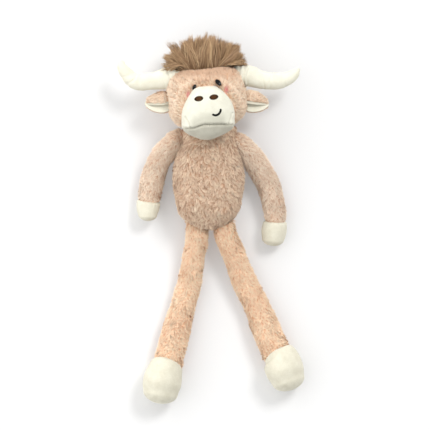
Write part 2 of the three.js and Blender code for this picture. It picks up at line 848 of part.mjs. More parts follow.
// One lock: a cone from inside the mound, fanned out across and leaning front or back
function hairLock(fanShare, rowShare, lengthShare) {
  const fan = (toRadians(lockSpreadDegrees) * fanShare) / 2;
  const lean = toRadians(lockLeanDegrees) * rowShare;
  const course = point(
    Math.sin(fan) * Math.cos(lean),
    Math.cos(fan) * Math.cos(lean),
    Math.sin(lean),
  );
  const start = point(
    crownCentreX + Math.sin(fan) * (crownHalfWidth - lockRootRadius),
    headCentreY + headHalfHeight - moundSink + Math.cos(fan) * (moundHalfHeight - lockRootDepth),
    crownZ + rowShare * (crownHalfDepth - lockRootRadius),
  );
  const length = lockLength * lengthShare;
  const aside = point(0, 0, 1).cross(course).normalize();
  const over = course.clone().cross(aside);
  const rings = Array.from({ length: lockSteps + 1 }, (_, step) => {
    const share = step / lockSteps;
    const radius = lockRootRadius + (lockTipRadius - lockRootRadius) * share ** 2;
    const centre = start.clone().addScaledVector(course, length * share);
    return ellipseRing(
      centre,
      aside.clone().multiplyScalar(radius),
      over.clone().multiplyScalar(radius),
      lockSides,
    );
  });
  return skinOver(rings, start, start.clone().addScaledVector(course, length + lockTipRadius));
}

function makeHair() {
  const head = headForm(gap);
  let patch = crownEllipsoid(0).intersect(headForm(gap + patchThickness)).subtract(head);
  let tuft = crownEllipsoid(0);
  const lockCount = lockLengthShares.length;
  for (const rowShare of lockRowShares) {
    lockLengthShares.forEach((lengthShare, lock) => {
      const fanShare = (2 * lock) / (lockCount - 1) - 1;
      const rowLengthShare = rowShare === 0 ? 1 : lockSideRowLengthShare;
      tuft = tuft.add(hairLock(fanShare, rowShare, lengthShare * rowLengthShare));
    });
  }
  tuft = tuft.subtract(headForm(gap + patchThickness + gap));
  for (const horn of horns) {
    patch = patch.subtract(hornForm(horn, gap));
    tuft = tuft.subtract(hornForm(horn, gap));
  }
  return {
    crown_patch: { solid: patch, finish: brownHair },
    hair_tuft: { solid: restOnTable(tuft), finish: brownHair },
  };
}

// Arms

function shoulderRoot(arm, grow) {
  const centre = point(arm.sign * shoulderFaceX, shoulderY, shoulderZ);
  const inwards = shoulderRootDepth;
  const outwards = shoulderBlendLength;
  const [low, high] = arm.sign > 0 ? [inwards, outwards] : [outwards, inwards];
  return roundRoot(centre, shoulderRadius, low, high, grow);
}

function armStations(arm) {
  return arm.runShares.map(([out, down, below, width, depth]) => ({
    centre: point(
      arm.sign * (shoulderFaceX + armReach * out),
      shoulderY - armDrop * down,
      shoulderZ - armLift * below,
    ),
    halfWidth: armHalfWidth * width,
    halfDepth: armHalfWidth * depth,
  }));
}

function armForm(arm, grow) {
  const run = softRun(armStations(arm), armRings, limbSides, grow);
  const face = point(arm.sign * (shoulderFaceX - grow), 0, 0);
  const beside = farSide(face, point(arm.sign, 0, 0));
  return run.intersect(beside).add(shoulderRoot(arm, grow));
}

// The half space past a seam across a limb, and the one before it, half a gap from the seam
function seamSides(place, course, tiltDegrees) {
  const side = point(course.y, -course.x, 0).normalize();
  const normal = course.clone().setZ(0).normalize().applyAxisAngle(side, toRadians(tiltDegrees));
  const past = farSide(place.clone().addScaledVector(normal, gap / 2), normal);
  const before = farSide(place.clone().addScaledVector(normal, -gap / 2), normal.clone().negate());
  return { past, before };
}

function makeArm(arm) {
  const middle = new THREE.CatmullRomCurve3(armStations(arm).map((s) => s.centre));
  const seamY = shoulderY - armDrop * arm.seamShare;
  const { place, course } = whereAt(middle, seamY);
  const { past, before } = seamSides(place, course, wristSeamTiltDegrees);
  const armShell = armForm(arm, 0).subtract(armForm(arm, -coverWall));
  const handShell = armForm(arm, 0).subtract(armForm(arm, -minkyWall));
  return {
    [`arm_cover_${arm.side}`]: { solid: restOnTable(armShell.intersect(before)), finish: peach },
    [`hand_hoof_${arm.side}`]: { solid: restOnTable(handShell.intersect(past)), finish: cream },
    [`arm_stuffing_${arm.side}`]: { solid: armForm(arm, -coverWall - gap), finish: whiteFibre },
  };
}

// The place on a curve that runs down the toy, and its course there, at a height y
function whereAt(curve, y) {
  let share = 0;
  while (share < 1 && curve.getPoint(share).y > y) {
    share += 1 / seamSearchSteps;
  }
  return { place: curve.getPoint(share), course: curve.getTangent(share) };
}

// Legs

function hipRoot(leg, grow) {
  const centre = point(leg.hipX, hipY, hipZ);
  const half = leg.hipHalfWidth;
  return roundRoot(centre, hipRadius, half, half, grow);
}

function legStations(leg) {
  const lowZ = hipZ - legLift;
  const run = leg.runShares.map(([out, down, below, width, depth]) => ({
    centre: point(leg.hipX + leg.reach * out, hipY - legDrop * down, hipZ - legLift * below),
    halfWidth: legHalfWidth * width,
    halfDepth: legHalfWidth * depth,
  }));
  const foot = leg.footShares.map(([out, down, rise, width, depth]) => ({
    centre: point(leg.hipX + leg.reach * out, hipY - legDrop * down, lowZ + footRise * rise),
    halfWidth: footHalfWidth * width,
    halfDepth: footHalfDepth * depth,
  }));
  return [...run, ...foot];
}

function legForm(leg, grow) {
  return softRun(legStations(leg), legRings, limbSides, grow).add(hipRoot(leg, grow));
}

function makeLeg(leg) {
  const middle = new THREE.CatmullRomCurve3(legStations(leg).map((s) => s.centre));
  const { place, course } = whereAt(middle, hipY - legDrop * leg.seamShare);
  const { past, before } = seamSides(place, course, footSeamTiltDegrees);
  const legShell = legForm(leg, 0).subtract(legForm(leg, -coverWall));
  const footShell = legForm(leg, 0).subtract(legForm(leg, -minkyWall));
  return {
    [`leg_cover_${leg.side}`]: { solid: restOnTable(legShell.intersect(before)), finish: peach },
    [`foot_hoof_${leg.side}`]: { solid: restOnTable(footShell.intersect(past)), finish: cream },
    [`leg_stuffing_${leg.side}`]: { solid: legForm(leg, -coverWall - gap), finish: whiteFibre },
  };
}

// The toy

const pieces = {
  ...makeTorso(),
  ...makeHead(),
  ...makeMuzzle(),
  ...Object.assign({}, ...eyes.map(makeEye)),
  ...Object.assign({}, ...horns.map(makeHorn)),
  ...Object.assign({}, ...ears.map(makeEar)),
  ...makeHair(),
  ...Object.assign({}, ...arms.map(makeArm)),
  ...Object.assign({}, ...legs.map(makeLeg)),
};

const cow = new THREE.Group();
for (const [name, { solid, finish }] of Object.entries(pieces)) {
  const mesh = new THREE.Mesh(geometryOf(solid), new THREE.MeshStandardMaterial(finish));
  mesh.name = name;
  cow.add(mesh);
}

export default cow;
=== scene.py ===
import math
from collections import namedtuple

import bpy
import numpy as np
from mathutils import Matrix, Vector, kdtree
from mathutils.bvhtree import BVHTree


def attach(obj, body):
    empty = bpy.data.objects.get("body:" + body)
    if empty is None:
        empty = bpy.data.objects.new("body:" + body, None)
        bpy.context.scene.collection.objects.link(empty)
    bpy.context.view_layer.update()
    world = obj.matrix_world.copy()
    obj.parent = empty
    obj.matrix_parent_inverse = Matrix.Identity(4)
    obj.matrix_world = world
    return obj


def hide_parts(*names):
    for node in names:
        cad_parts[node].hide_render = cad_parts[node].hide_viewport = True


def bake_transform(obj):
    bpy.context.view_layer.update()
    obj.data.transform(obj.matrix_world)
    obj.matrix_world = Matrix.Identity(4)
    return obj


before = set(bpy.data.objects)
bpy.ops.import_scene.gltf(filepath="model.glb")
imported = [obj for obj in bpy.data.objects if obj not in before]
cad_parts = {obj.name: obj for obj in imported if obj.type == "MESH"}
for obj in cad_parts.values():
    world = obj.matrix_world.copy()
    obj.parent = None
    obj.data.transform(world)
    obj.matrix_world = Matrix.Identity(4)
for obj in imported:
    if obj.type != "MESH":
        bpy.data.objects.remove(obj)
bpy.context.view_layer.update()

# The looks of a long-legged plush highland cow that lies on its back.
# Sizes are in millimetres and become metres where a mesh is made. "left" and "right" are the
# viewer's, looking down at the face, +Y runs towards the head and +Z up out of the belly.

MM = 0.001

# Light: the side that the sky is brighter on, its strength away from it and on it, and how much
# of it gloss shows
SKY_BRIGHT_SIDE = (-0.8, 0.5, 0.33)
SKY_STRENGTH = (0.12, 1.3)
SKY_IN_GLOSS = 0.15
Lamp = namedtuple("Lamp", "name strength width_deg towards")
LAMPS = (Lamp("key", 1.35, 18, (0.5, 0.62, 1.0)), Lamp("window", 0.85, 110, (-1.0, 0.7, 0.8)))

# Floor: its half size, its grey for light that bounces and for the camera, and its own glow there
FLOOR_HALF = 9000.0
FLOOR_GREY = 0.96
FLOOR_SEEN_GREY = 0.66
FLOOR_SEEN_GLOW = 0.18

# The picture: its width in the object's plane, its middle, and how far the camera stands off
PICTURE_WIDTH = 559.0
PICTURE_MIDDLE = (8.45, -44.2)
PICTURE_LEVEL = 40.0
CAMERA_HEIGHT = 25000.0
SENSOR_WIDTH = 36.0

# Shared sizes
REST_FLAT_DEPTH = 0.5
PILE_DEPTH = 2.6  # the plush backing lies this far inside the solid's outside
MINKY_INSET = 0.2
FLOOR_SKIN = 0.15  # pile that the floor presses flat keeps this far above it

# Torso
TORSO_LENGTH = 144.0
TORSO_BOTTOM = -64.0
TORSO_HALF_WIDTH = 47.5
TORSO_HALF_DEPTH = 38.0
NECK_BEND = (60.0, 78.0)  # heights given for the neck's bend from the torso to the head
TORSO_ROWS = (  # share of the length from the bottom, of the half width, of the half depth
    (0, 0, 0), (0.015, 0.3, 0.3), (0.05, 0.52, 0.5), (0.095, 0.71, 0.68), (0.15, 0.83, 0.82),
    (0.236, 0.915, 0.93), (0.375, 0.985, 1), (0.514, 1, 1), (0.639, 0.94, 0.96),
    (0.757, 0.86, 0.88), (0.861, 0.8, 0.815), (0.944, 0.74, 0.76), (1, 0.65, 0.68), (1.01, 0, 0),
)

# Head: its outline in the picture is a rounded square, fuller over its middle than below
HEAD_CENTRE = np.array((-2.0, 107.0, 44.0))
HEAD_HALF = np.array((52.3, 41.5, 44.5))
HEAD_ROLL = math.radians(5)
HEAD_POWER = 2.25
HEAD_TOP_POWER = 4.4
HEAD_BOTTOM_POWER = 2.9

# Muzzle
MUZZLE_CENTRE = (-0.5, 88.4)
MUZZLE_HALF_WIDTH = 35.2
MUZZLE_HALF_HEIGHT = 35.0
MUZZLE_BACK = 70.0
MUZZLE_LENGTH = 49.0
MUZZLE_WALL = 1.2
MUZZLE_ROWS = (  # share of the length from the back, of the half width and height
    (0, 0), (0.02, 0.55), (0.1, 0.8), (0.24, 0.95), (0.42, 1), (0.6, 0.95), (0.76, 0.83),
    (0.89, 0.62), (0.97, 0.36), (1, 0),
)
# rise over the muzzle's middle as a share of its half height, half width there to the left and
# to the right as shares
MUZZLE_OUTLINE = (
    (-1, 0, 0), (-0.985, 0.24, 0.11), (-0.937, 0.4, 0.27), (-0.87, 0.59, 0.43),
    (-0.8, 0.74, 0.58), (-0.7, 0.875, 0.755), (-0.59, 0.955, 0.9), (-0.45, 0.99, 0.985),
    (-0.286, 1, 1), (0, 0.985, 1), (0.308, 0.88, 0.915), (0.6, 0.73, 0.74), (0.8, 0.585, 0.55),
    (0.9, 0.48, 0.41), (0.97, 0.29, 0.26), (1, 0, 0),
)
LIP_LOW_Y = 67.6  # the lip seam's height at its left end
LIP_STEP = 5.0  # and how much higher its right end is
LIP_STEP_FROM = -22.0
LIP_STEP_WIDTH = 19.0
# The lip seam's groove and the swell beside it: places above the seam, widths and heights
LIP_PROFILE = ((0, 1.3, -2.0), (3.4, 2.6, 1.1), (-3, 1.8, 0.3))
MUZZLE_SHADE_HEIGHT = 19.0  # painted shade darkens the nap up to this far above the lip seam
MUZZLE_SHADE_HALF_WIDTH = 26.0
DARTS = (((-30.4, 82.8), (-23.2, 69.0)), ((31.2, 88.0), (26.2, 73.8)))
DART_PROFILE = ((0, 1.2, -2.4), (0, 3.2, 0.7))
LIP_PUCKER_DEPTH = 0.55
LIP_PUCKER_HEIGHT = 4.0  # how far from the seam the puckers fade
MUZZLE_WAVE = 0.35  # the fabric's unevenness

# Embroidery
NOSTRIL_HALF = (5.7, 4.2)
NOSTRILS = ((-12.5, 106.6), (6.9, 108.6))
NOSTRIL_TILT = math.radians(6)
SMILE = ((4.8, 86.4), (8.7, 84.9), (12.4, 86.0), (15.2, 89.3), (16.2, 93.4))
SMILE_STROKE = 3.2
SMILE_PITCH_SHARE = 0.8  # of the threads' pitch
THREAD_PITCH = 0.5
THREAD_HEIGHT = 0.8

# Eyes
Eye = namedtuple("Eye", "side x y tilt half")
EYES = (
    Eye("left", -18.2, 121.0, math.radians(-22), (2.4, 4.2, 1.5)),
    Eye("right", 12.7, 127.0, math.radians(40), (3.1, 5.3, 1.7)),
)
EYE_RISE = 1.8
# Creases of the face, as lines in the picture plane
FACE_CREASES = (
    ((-14.2, 121.8), (-7.6, 124.7), (0.4, 126.1), (7, 125.3), (12, 122.5)),
    ((-12.9, 127.1), (-7.6, 131.4), (-2.3, 137.4)),
    ((20.9, 122.8), (24.2, 120.1), (25.6, 114.9)),
    ((-25.5, 117.5), (-28.8, 112.2)),
)
CREASE_WIDTH = 1.5
CREASE_DEPTH = 1.9
CHEEKS = ((-26.4, 112.2), (23.2, 118.2))
CHEEK_HALF = (2.2, 4.4)
FACE_LEVEL = 50.0  # the face's creases and colours lie above this height
# How the plush swells round the muzzle and is drawn in at its seam: places, widths and heights
MUZZLE_RIM = ((7, 4.0, 2.6), (0.5, 2.5, -1.8), (14, 2.5, -1.2))
RIM_FRONT = (55.0, 70.0)  # nothing of it up to the first height over the table, all from the second
RIM_TOP = (92.0, 112.0)  # from the first to the second Y it grows from its low share to all
RIM_LOW_SHARE = 0.25
EYE_SOCKET_WIDTH = 6.0
EYE_SOCKET_DEPTH = 2.2
EYE_MARGIN = 0.9  # bare skin round an eye
HEAD_WAVE = 0.7  # the stuffing's unevenness
HEAD_FLOW_FROM = np.array((MUZZLE_CENTRE[0], MUZZLE_CENTRE[1] + 8, 60.0))  # the pile parts here
BARE_LEVEL = 60.0  # above this height no pile grows under the muzzle
BARE_CROWN = 20.0  # nor this far above the head's centre among the hair's roots
SHADE_EDGE = 8.0  # how softly the painted shade ends under the hair and low on the muzzle

# Horns
HORN_ROOT_X = 46.0
HORN_REACH = 66.0
HORN_RISE = 26.0
HORN_Z = 47.5
HORN_RADIUS = 14.5
HORN_DEPTH_SHARE = 0.93
HORN_END = 3.0
HORN_CREASE_WIDTH = 0.011  # as a share of the horn's length
HORN_CREASE_PROFILE = ((0, 1, -1), (2.2, 1.6, 0.45))
Horn = namedtuple("Horn", "side sign root_y rows creases")
HORNS = (  # rows: shares of the reach, the rise and the radius. Creases: share along, depth
    Horn("left", -1, 133.0, (
        (-0.45, -0.35, 0.55), (-0.1, 0, 0.93), (0.1, 0, 0.97), (0.28, -0.1, 0.83),
        (0.46, -0.14, 0.77), (0.63, -0.17, 0.75), (0.79, -0.03, 0.69), (0.917, 0.33, 0.56),
        (0.98, 0.6, 0.42), (0.99, 0.83, 0.27),
    ), ((0.3, 0.6), (0.37, 0.4), (0.62, 0.3), (0.7, 0.5), (0.78, 0.3))),
    Horn("right", 1, 134.0, (
        (-0.45, -0.35, 0.55), (-0.1, 0.08, 0.92), (0.12, 0.1, 0.95), (0.285, -0.035, 0.86),
        (0.445, -0.12, 0.8), (0.68, -0.155, 0.76), (0.89, -0.03, 0.64), (1.03, 0.22, 0.47),
        (1.09, 0.4, 0.27),
    ), ((0.26, 1.3), (0.3, 1.1), (0.35, 0.9), (0.52, 0.6), (0.6, 0.6), (0.74, 0.4))),
)

# Ears
EAR_LENGTH = 27.0
EAR_HALF_WIDTH = 14.6
EAR_FOLD_DEPTH = 11.0
EAR_STAND_OFF = 1.0
EAR_SET_BACK = 5.0
EAR_HINGE_INSET = 0.4
EAR_BEND = (-3.0, 5.0)  # outwards from the hinge
EAR_Z = 44.0
EAR_WALL = 1.3
LINING_WALL = 1.3
Ear = namedtuple("Ear", "side sign y tip_drop")
EARS = (Ear("left", -1, 102.5, 1.5), Ear("right", 1, 103.5, 3.0))
EAR_OUTLINE = (  # share of the length, of the half width
    (-0.3, 0.85), (0, 1), (0.25, 0.98), (0.5, 0.87), (0.72, 0.69), (0.88, 0.5), (0.98, 0.32),
    (1.03, 0.16),
)
EAR_FOLD = (  # up the back, over the top and down the front
    (-1, 0.3), (-0.6, 0.08), (0, 0), (0.55, 0.08), (0.9, 0.3), (1, 0.58), (0.84, 0.84),
    (0.45, 0.98), (-0.25, 0.98),
)

# Hair
CROWN_X = -4.0
CROWN_HALF_WIDTH = 35.0
CROWN_HALF_DEPTH = 15.0
CROWN_Z = 42.0
HAIR_Z = 47.0
HAIR_MIDDLE = (-3.2, 140.5)
HAIR_LEFT_REACH = 60.0
HAIR_RIGHT_REACH = 56.0
HAIR_RISE = 50.5
HAIR_SPREAD = 44.0  # forwards and back
HAIR_FULLNESS = 0.08
HAIR_FAN = (math.radians(-91), math.radians(80))
HAIR_LEAN = math.radians(36)
HAIR_TUFTS = 240
HAIRS_PER_TUFT = 32
HAIR_GATHER = 0.35
HAIR_STEPS = 6
HAIR_WIDTH = 0.9
HAIR_SECTION = ((-0.87, 0.4), (0.87, 0.4), (0, -0.8))  # aside and over, in half widths
HAIR_CURL = 2.4  # how far a tuft's tip bends off at random
HAIR_WAVE = 1.8
HAIR_STRAY = 0.5
HAIR_SINK = 3.0  # how deep in the crown its roots are
MOUND_RISE = 9.0  # the mound of dense roots over the crown, and how deep it sits
MOUND_SINK = 4.0
# The hair's shadow over the brow, painted into the head's pile colour
HAIR_SHADE_FROM = 127.0
HAIR_SHADE_DEPTH = 12.0
HAIR_SHADE_HALF_WIDTH = 46.0

# Arms
SHOULDER = (48.2, 50.0, 36.0)
ARM_REACH = 42.0
ARM_DROP = 134.0
ARM_LIFT = 19.5
ARM_HALF_WIDTH = 16.8
SHOULDER_BEND = (38.0, 52.0)  # the X at either end of the bend given between the torso and an arm
ARM_PILE_FROM = 34.0
HAND_END = 8.5
WRIST_TILT = math.radians(-9)
Arm = namedtuple("Arm", "side sign rows seam")
ARMS = (  # rows: shares of the reach, the drop, the lift and the half width, across and in depth
    Arm("left", -1, (
        (-0.5, -0.04, -0.1, 0.45, 0.6), (-0.27, -0.055, -0.15, 0.7, 0.87),
        (-0.03, 0.014, -0.1, 0.88, 1), (0.26, 0.12, 0.3, 0.95, 0.97),
        (0.48, 0.25, 0.7, 0.96, 0.95), (0.62, 0.41, 0.92, 0.98, 0.97),
        (0.7, 0.56, 0.95, 0.94, 0.93), (0.73, 0.645, 0.86, 0.9, 0.88),
        (0.735, 0.7, 0.76, 0.77, 0.77),
    ), 0.56),
    Arm("right", 1, (
        (-0.5, -0.03, -0.1, 0.45, 0.6), (-0.27, -0.025, -0.15, 0.68, 0.85),
        (-0.06, 0.045, -0.1, 0.86, 1), (0.26, 0.17, 0.3, 0.98, 0.98),
        (0.53, 0.31, 0.72, 0.98, 0.97), (0.7, 0.41, 0.9, 0.96, 0.96),
        (0.87, 0.6, 1.02, 0.94, 0.96), (0.92, 0.74, 1.02, 0.9, 0.95),
        (0.89, 0.85, 1.02, 0.99, 0.96), (0.86, 0.94, 1.02, 0.87, 0.84),
    ), 0.76),
)

# Legs
HIP_Y = -77.0
HIP_Z = 28.0
LEG_DROP = 208.0
LEG_LIFT = 11.5
FOOT_RISE = 11.0
LEG_HALF_WIDTH = 20.0
FOOT_HALF_WIDTH = 25.6
FOOT_HALF_DEPTH = 28.0
FOOT_END = 15.0
HIP_BEND = (-64.0, -88.0)
ANKLE_TILT = math.radians(20)
Leg = namedtuple("Leg", "side hip_x reach rows foot_rows seam")
LEGS = (  # rows as the arms', with the foot's own rise, half width and half depth in its rows
    Leg("left", -15.8, -47.0, (
        (0, -0.12, 0, 0.7, 0.62), (-0.01, -0.06, 0, 0.77, 0.68), (-0.01, 0, 0, 0.79, 0.72),
        (0.07, 0.1, 0.5, 0.77, 0.75), (0.19, 0.265, 1, 0.82, 0.79),
        (0.355, 0.4, 1.05, 0.85, 0.83), (0.535, 0.55, 0.95, 0.95, 0.91),
        (0.71, 0.7, 0.7, 0.98, 0.97), (0.77, 0.76, 0.5, 1.02, 1.03),
    ), (
        (0.86, 0.815, 0.8, 0.91, 0.92), (0.945, 0.89, 1, 1, 1), (0.985, 0.95, 1, 0.9, 0.88),
    ), 0.77),
    Leg("right", 20.4, 84.0, (
        (-0.02, -0.12, 0, 0.7, 0.62), (0.01, -0.06, 0, 0.79, 0.68), (0.06, 0, 0, 0.8, 0.72),
        (0.18, 0.12, 0.5, 0.8, 0.75), (0.32, 0.265, 1, 0.86, 0.79),
        (0.48, 0.39, 1.05, 0.88, 0.84), (0.655, 0.56, 0.95, 0.98, 0.93),
        (0.775, 0.67, 0.7, 0.98, 0.97), (0.82, 0.715, 0.5, 1.02, 1.03),
    ), (
        (0.885, 0.75, 0.8, 0.94, 0.92), (0.94, 0.815, 1, 0.98, 1), (0.985, 0.87, 1, 0.87, 0.88),
    ), 0.716),
)
LIMB_RINGS = 260
PLUSH_PAST_SEAM = 16  # how many of a limb's rings its plush backing goes on inside the hoof
SEAM_GROOVE = 2.3
SEAM_GROOVE_WIDTH = 1.7
PUCKERS = 15
PUCKER_DEPTH = 0.3
PUCKER_LENGTH = 5.0
MINKY_WAVE = 0.4  # how uneven hooves and horns are
PILE_TRIM = 6.5  # the pile gets shorter this near the hoof
TILT_FADE = 16.0  # how far past its seam a hoof's rings stand square again

# Pile: length, width, lean from upright, how far tufts turn, hairs in a tuft, how far its tips
# gather, and the skin that one hair has to itself
Pile = namedtuple("Pile", "length width lean turn per_tuft gather room")
BODY_PILE = Pile(6.0, 0.6, math.radians(69), math.radians(27), 20, 0.62, 0.2)
LIMB_PILE = Pile(5.3, 0.55, math.radians(67), math.radians(32), 14, 0.5, 0.17)
HEAD_PILE = Pile(4.8, 0.6, math.radians(67), math.radians(28), 20, 0.5, 0.17)
EAR_PILE = Pile(3.6, 0.5, math.radians(70), math.radians(16), 10, 0.35, 0.12)
SKY_TURN = 0.45  # how far the flat sides of the hairs turn up
MOST_FACES = 196000


# Meshes

def listed(face_groups):
    """All faces of some groups, each of which has faces with equally many corners."""
    return [face for group in face_groups for face in group.tolist()]


def make_mesh(name, points, face_groups, normals=None):
    """A mesh from points in millimetres."""
    mesh = bpy.data.meshes.new(name)
    mesh.from_pydata((points * MM).tolist(), [], listed(face_groups))
    mesh.shade_smooth()
    if normals is not None:
        mesh.normals_split_custom_set_from_vertices(normals.tolist())
    return mesh


def add_object(name, data):
    added = bpy.data.objects.new(name, data)
    bpy.context.scene.collection.objects.link(added)
    return added


Bend = namedtuple("Bend", "first second start end")


def add_piece(name, mesh, body, material, nodes):
    """A piece of the toy that stands for CAD nodes. It rides on a body; given a bend between two, it stays
    fixed where it is.
    """
    piece = add_object(name, mesh)
    mesh.materials.append(material)
    if isinstance(body, Bend):
        Vector(body.start) * MM
        Vector(body.end) * MM
        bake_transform(piece)
    else:
        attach(piece, body)
    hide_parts(*nodes)
    return piece


def on_floor(points):
    """Points with what the floor presses flat lifted onto it."""
    points[:, 2] = np.maximum(points[:, 2], FLOOR_SKIN)
    return points


def add_skin(name, grid, body, material, nodes):
    """A minky piece over a closed grid of rings."""
    points, groups = closed_skin(grid)
    return add_piece(name, make_mesh(name, on_floor(points), groups), body, material,
                     nodes)


def set_values(mesh, name, values):
    attribute = mesh.attributes.new(name, "FLOAT", "POINT")
    attribute.data.foreach_set("value", np.asarray(values, np.float32))


def unit(vectors):
    return vectors / np.maximum(np.linalg.norm(vectors, axis=-1, keepdims=True), 1e-9)


def circle(sides):
    """Even angles once round."""
    return np.linspace(0, 2 * math.pi, sides, endpoint=False)


def ramp(values, start, end):
    """0 up to the start, 1 from the end on."""
    return np.clip((values - start) / (end - start), 0, 1)


def hump(away, width):
    """1 in the middle, smoothly down to nothing about two widths away."""
    return np.exp(-((away / width) ** 2))


def profile(away, humps):
    """The sum of humps, each with its place, its width and its height."""
    return sum(height * hump(away - place, width) for place, width, height in humps)


def turned(points, angle):
    cos, sin = math.cos(angle), math.sin(angle)
    x, y = points[..., 0], points[..., 1]
    return np.stack([x * cos - y * sin, x * sin + y * cos, points[..., 2]], -1)


def wave_noise(points, size, seed):
    """A smooth random value at each point, about -1.5 to 1.5, whose humps are about size wide."""
    rng = np.random.default_rng(seed)
    directions = unit(rng.normal(size=(9, 3)))
    pitches = rng.uniform(0.6, 1.6, 9) * math.pi / size
    phases = rng.uniform(0, 2 * math.pi, 9)
    return np.cos(points @ (directions * pitches[:, None]).T + phases).sum(-1) / 3


def nearest(spots, places):
    """For each place, the number of the nearest spot and how far off it is."""
    tree = kdtree.KDTree(len(spots))
    for number, spot in enumerate(spots):
        tree.insert(spot, number)
    tree.balance()
    found = [tree.find(place)[1:] for place in places]
    numbers, distances = zip(*found)
    return np.array(numbers), np.array(distances)


def smooth_rows(rows, count):
    """The rows of a table at even steps along a smooth curve through all of them."""
    rows = np.asarray(rows, float)
    padded = np.vstack([2 * rows[0] - rows[1], rows, 2 * rows[-1] - rows[-2]])
    t = np.linspace(0, 1, 24, endpoint=False)[:, None]
    parts = [
        b + ((c - a) * t + (2 * a - 5 * b + 4 * c - d) * t**2 + (3 * b - a - 3 * c + d) * t**3) / 2
        for a, b, c, d in zip(padded, padded[1:], padded[2:], padded[3:])
    ]
    return even_rows(np.vstack([*parts, rows[-1:]]), count)


def travelled(rows):
    """How far along their run each of the rows lies."""
    return np.concatenate([[0], np.cumsum(np.linalg.norm(np.diff(rows, axis=0), axis=1))])


def even_rows(rows, count):
    along = travelled(rows)
    places = np.linspace(0, along[-1], count)
    return np.column_stack([np.interp(places, along, column) for column in rows.T])


def grid_faces(rings, sides):
    """Quads between the rings of a grid of points, whose sides close round on themselves."""
    low = np.arange((rings - 1) * sides).reshape(-1, sides)
    following = np.roll(low, -1, axis=1)
    return np.stack([low, following, following + sides, low + sides], -1).reshape(-1, 4)


def closed_skin(grid):
    """Points and face groups of a skin over a grid of rings, closed to a point at both ends."""
    rings, sides = grid.shape[:2]
    points = np.vstack([grid.reshape(-1, 3), grid[0].mean(0), grid[-1].mean(0)])
    quads = grid_faces(rings, sides)
    side = np.arange(sides)
    following = np.roll(side, -1)
    last, pole = (rings - 1) * sides, np.full(sides, rings * sides)
    fans = np.vstack([np.stack([pole, following, side], -1),
                      np.stack([pole + 1, last + side, last + following], -1)])
    a, b, c, d = (points[quads[:, k]] for k in range(4))
    volume = (np.cross(c - a, d - b) * ((a + b + c + d) / 4 - points.mean(0))).sum()
    if volume < 0:
        quads = quads[:, ::-1]
        fans = fans[:, ::-1]
    return points, [quads, fans]


def ring_grid(rows, sides):
    """Rings of points round a run that keeps close to level. Each row is a centre's x, y and z,
    a half width across the run and a half depth upwards."""
    centres = rows[:, :3]
    course = np.gradient(centres, axis=0)
    course[:, 2] = 0
    course = unit(course)
    across = np.stack([-course[:, 1], course[:, 0], np.zeros(len(rows))], -1)
    angle = circle(sides)
    flat = across[:, None] * (np.cos(angle)[None, :, None] * rows[:, 3][:, None, None])
    rise = np.array((0, 0, 1)) * (np.sin(angle)[None, :, None] * rows[:, 4][:, None, None])
    return centres[:, None] + flat + rise


def pushed(grid, push):
    """Rings with each point moved out from its ring's middle."""
    return grid + unit(grid - grid.mean(1, keepdims=True)) * push[..., None]


def with_round_end(rows, reach):
    """Rows with a dome past the last one, which reaches that far."""
    rows = np.asarray(rows, float)
    last = rows[-1]
    course = unit(rows[-1, :3] - rows[-2, :3])
    dome = []
    for angle in np.radians((20, 40, 57, 70, 80, 87)):
        centre = last[:3] + course * reach * math.sin(angle)
        dome.append([*centre, *(last[3:] * math.cos(angle))])
    return np.vstack([rows, dome])


def grown(rows, grow):
    rows = rows.copy()
    rows[:, 3:] = np.maximum(rows[:, 3:] + grow, 0.05)
    return rows


def as_triangles(quads, fans):
    return np.vstack([quads[:, [0, 1, 2]], quads[:, [0, 2, 3]], fans])


def point_normals(points, triangles):
    a, b, c = (points[triangles[:, k]] for k in range(3))
    faces = np.cross(b - a, c - a)
    normals = np.zeros_like(points)
    for k in range(3):
        np.add.at(normals, triangles[:, k], faces)
    return unit(normals)


Skin = namedtuple("Skin", "points triangles normals")


def plush_skin(grid):
    """The backing of a plush piece, as triangles, over a grid of rings."""
    points, groups = closed_skin(grid)
    triangles = as_triangles(*groups)
    return Skin(points, triangles, point_normals(points, triangles))


# Pile

def scatter(skin, flows, room, most, rng, keep):
    """Random places on a skin, one for each stretch of that room, with their normals and flows."""
    corners = skin.points[skin.triangles]
    areas = np.linalg.norm(
        np.cross(corners[:, 1] - corners[:, 0], corners[:, 2] - corners[:, 0]), axis=1) / 2
    count = int(areas.sum() / room)
    chosen = rng.choice(len(areas), count, p=areas / areas.sum())
    u, v = rng.random((2, count))
    over = u + v > 1
    u[over], v[over] = 1 - u[over], 1 - v[over]
    weights = np.stack([1 - u - v, u, v], -1)[:, :, None]
    triangles = skin.triangles[chosen]
    places = (skin.points[triangles] * weights).sum(1)
    normals = unit((skin.normals[triangles] * weights).sum(1))
    heading = (flows[triangles] * weights).sum(1)
    heading = unit(heading - (heading * normals).sum(1, keepdims=True) * normals)
    thinned = (normals[:, 2] > -0.3) | (rng.random(count) < 0.4)
    kept = keep(places) & thinned
    return [values[kept][:most] for values in (places, normals, heading)]


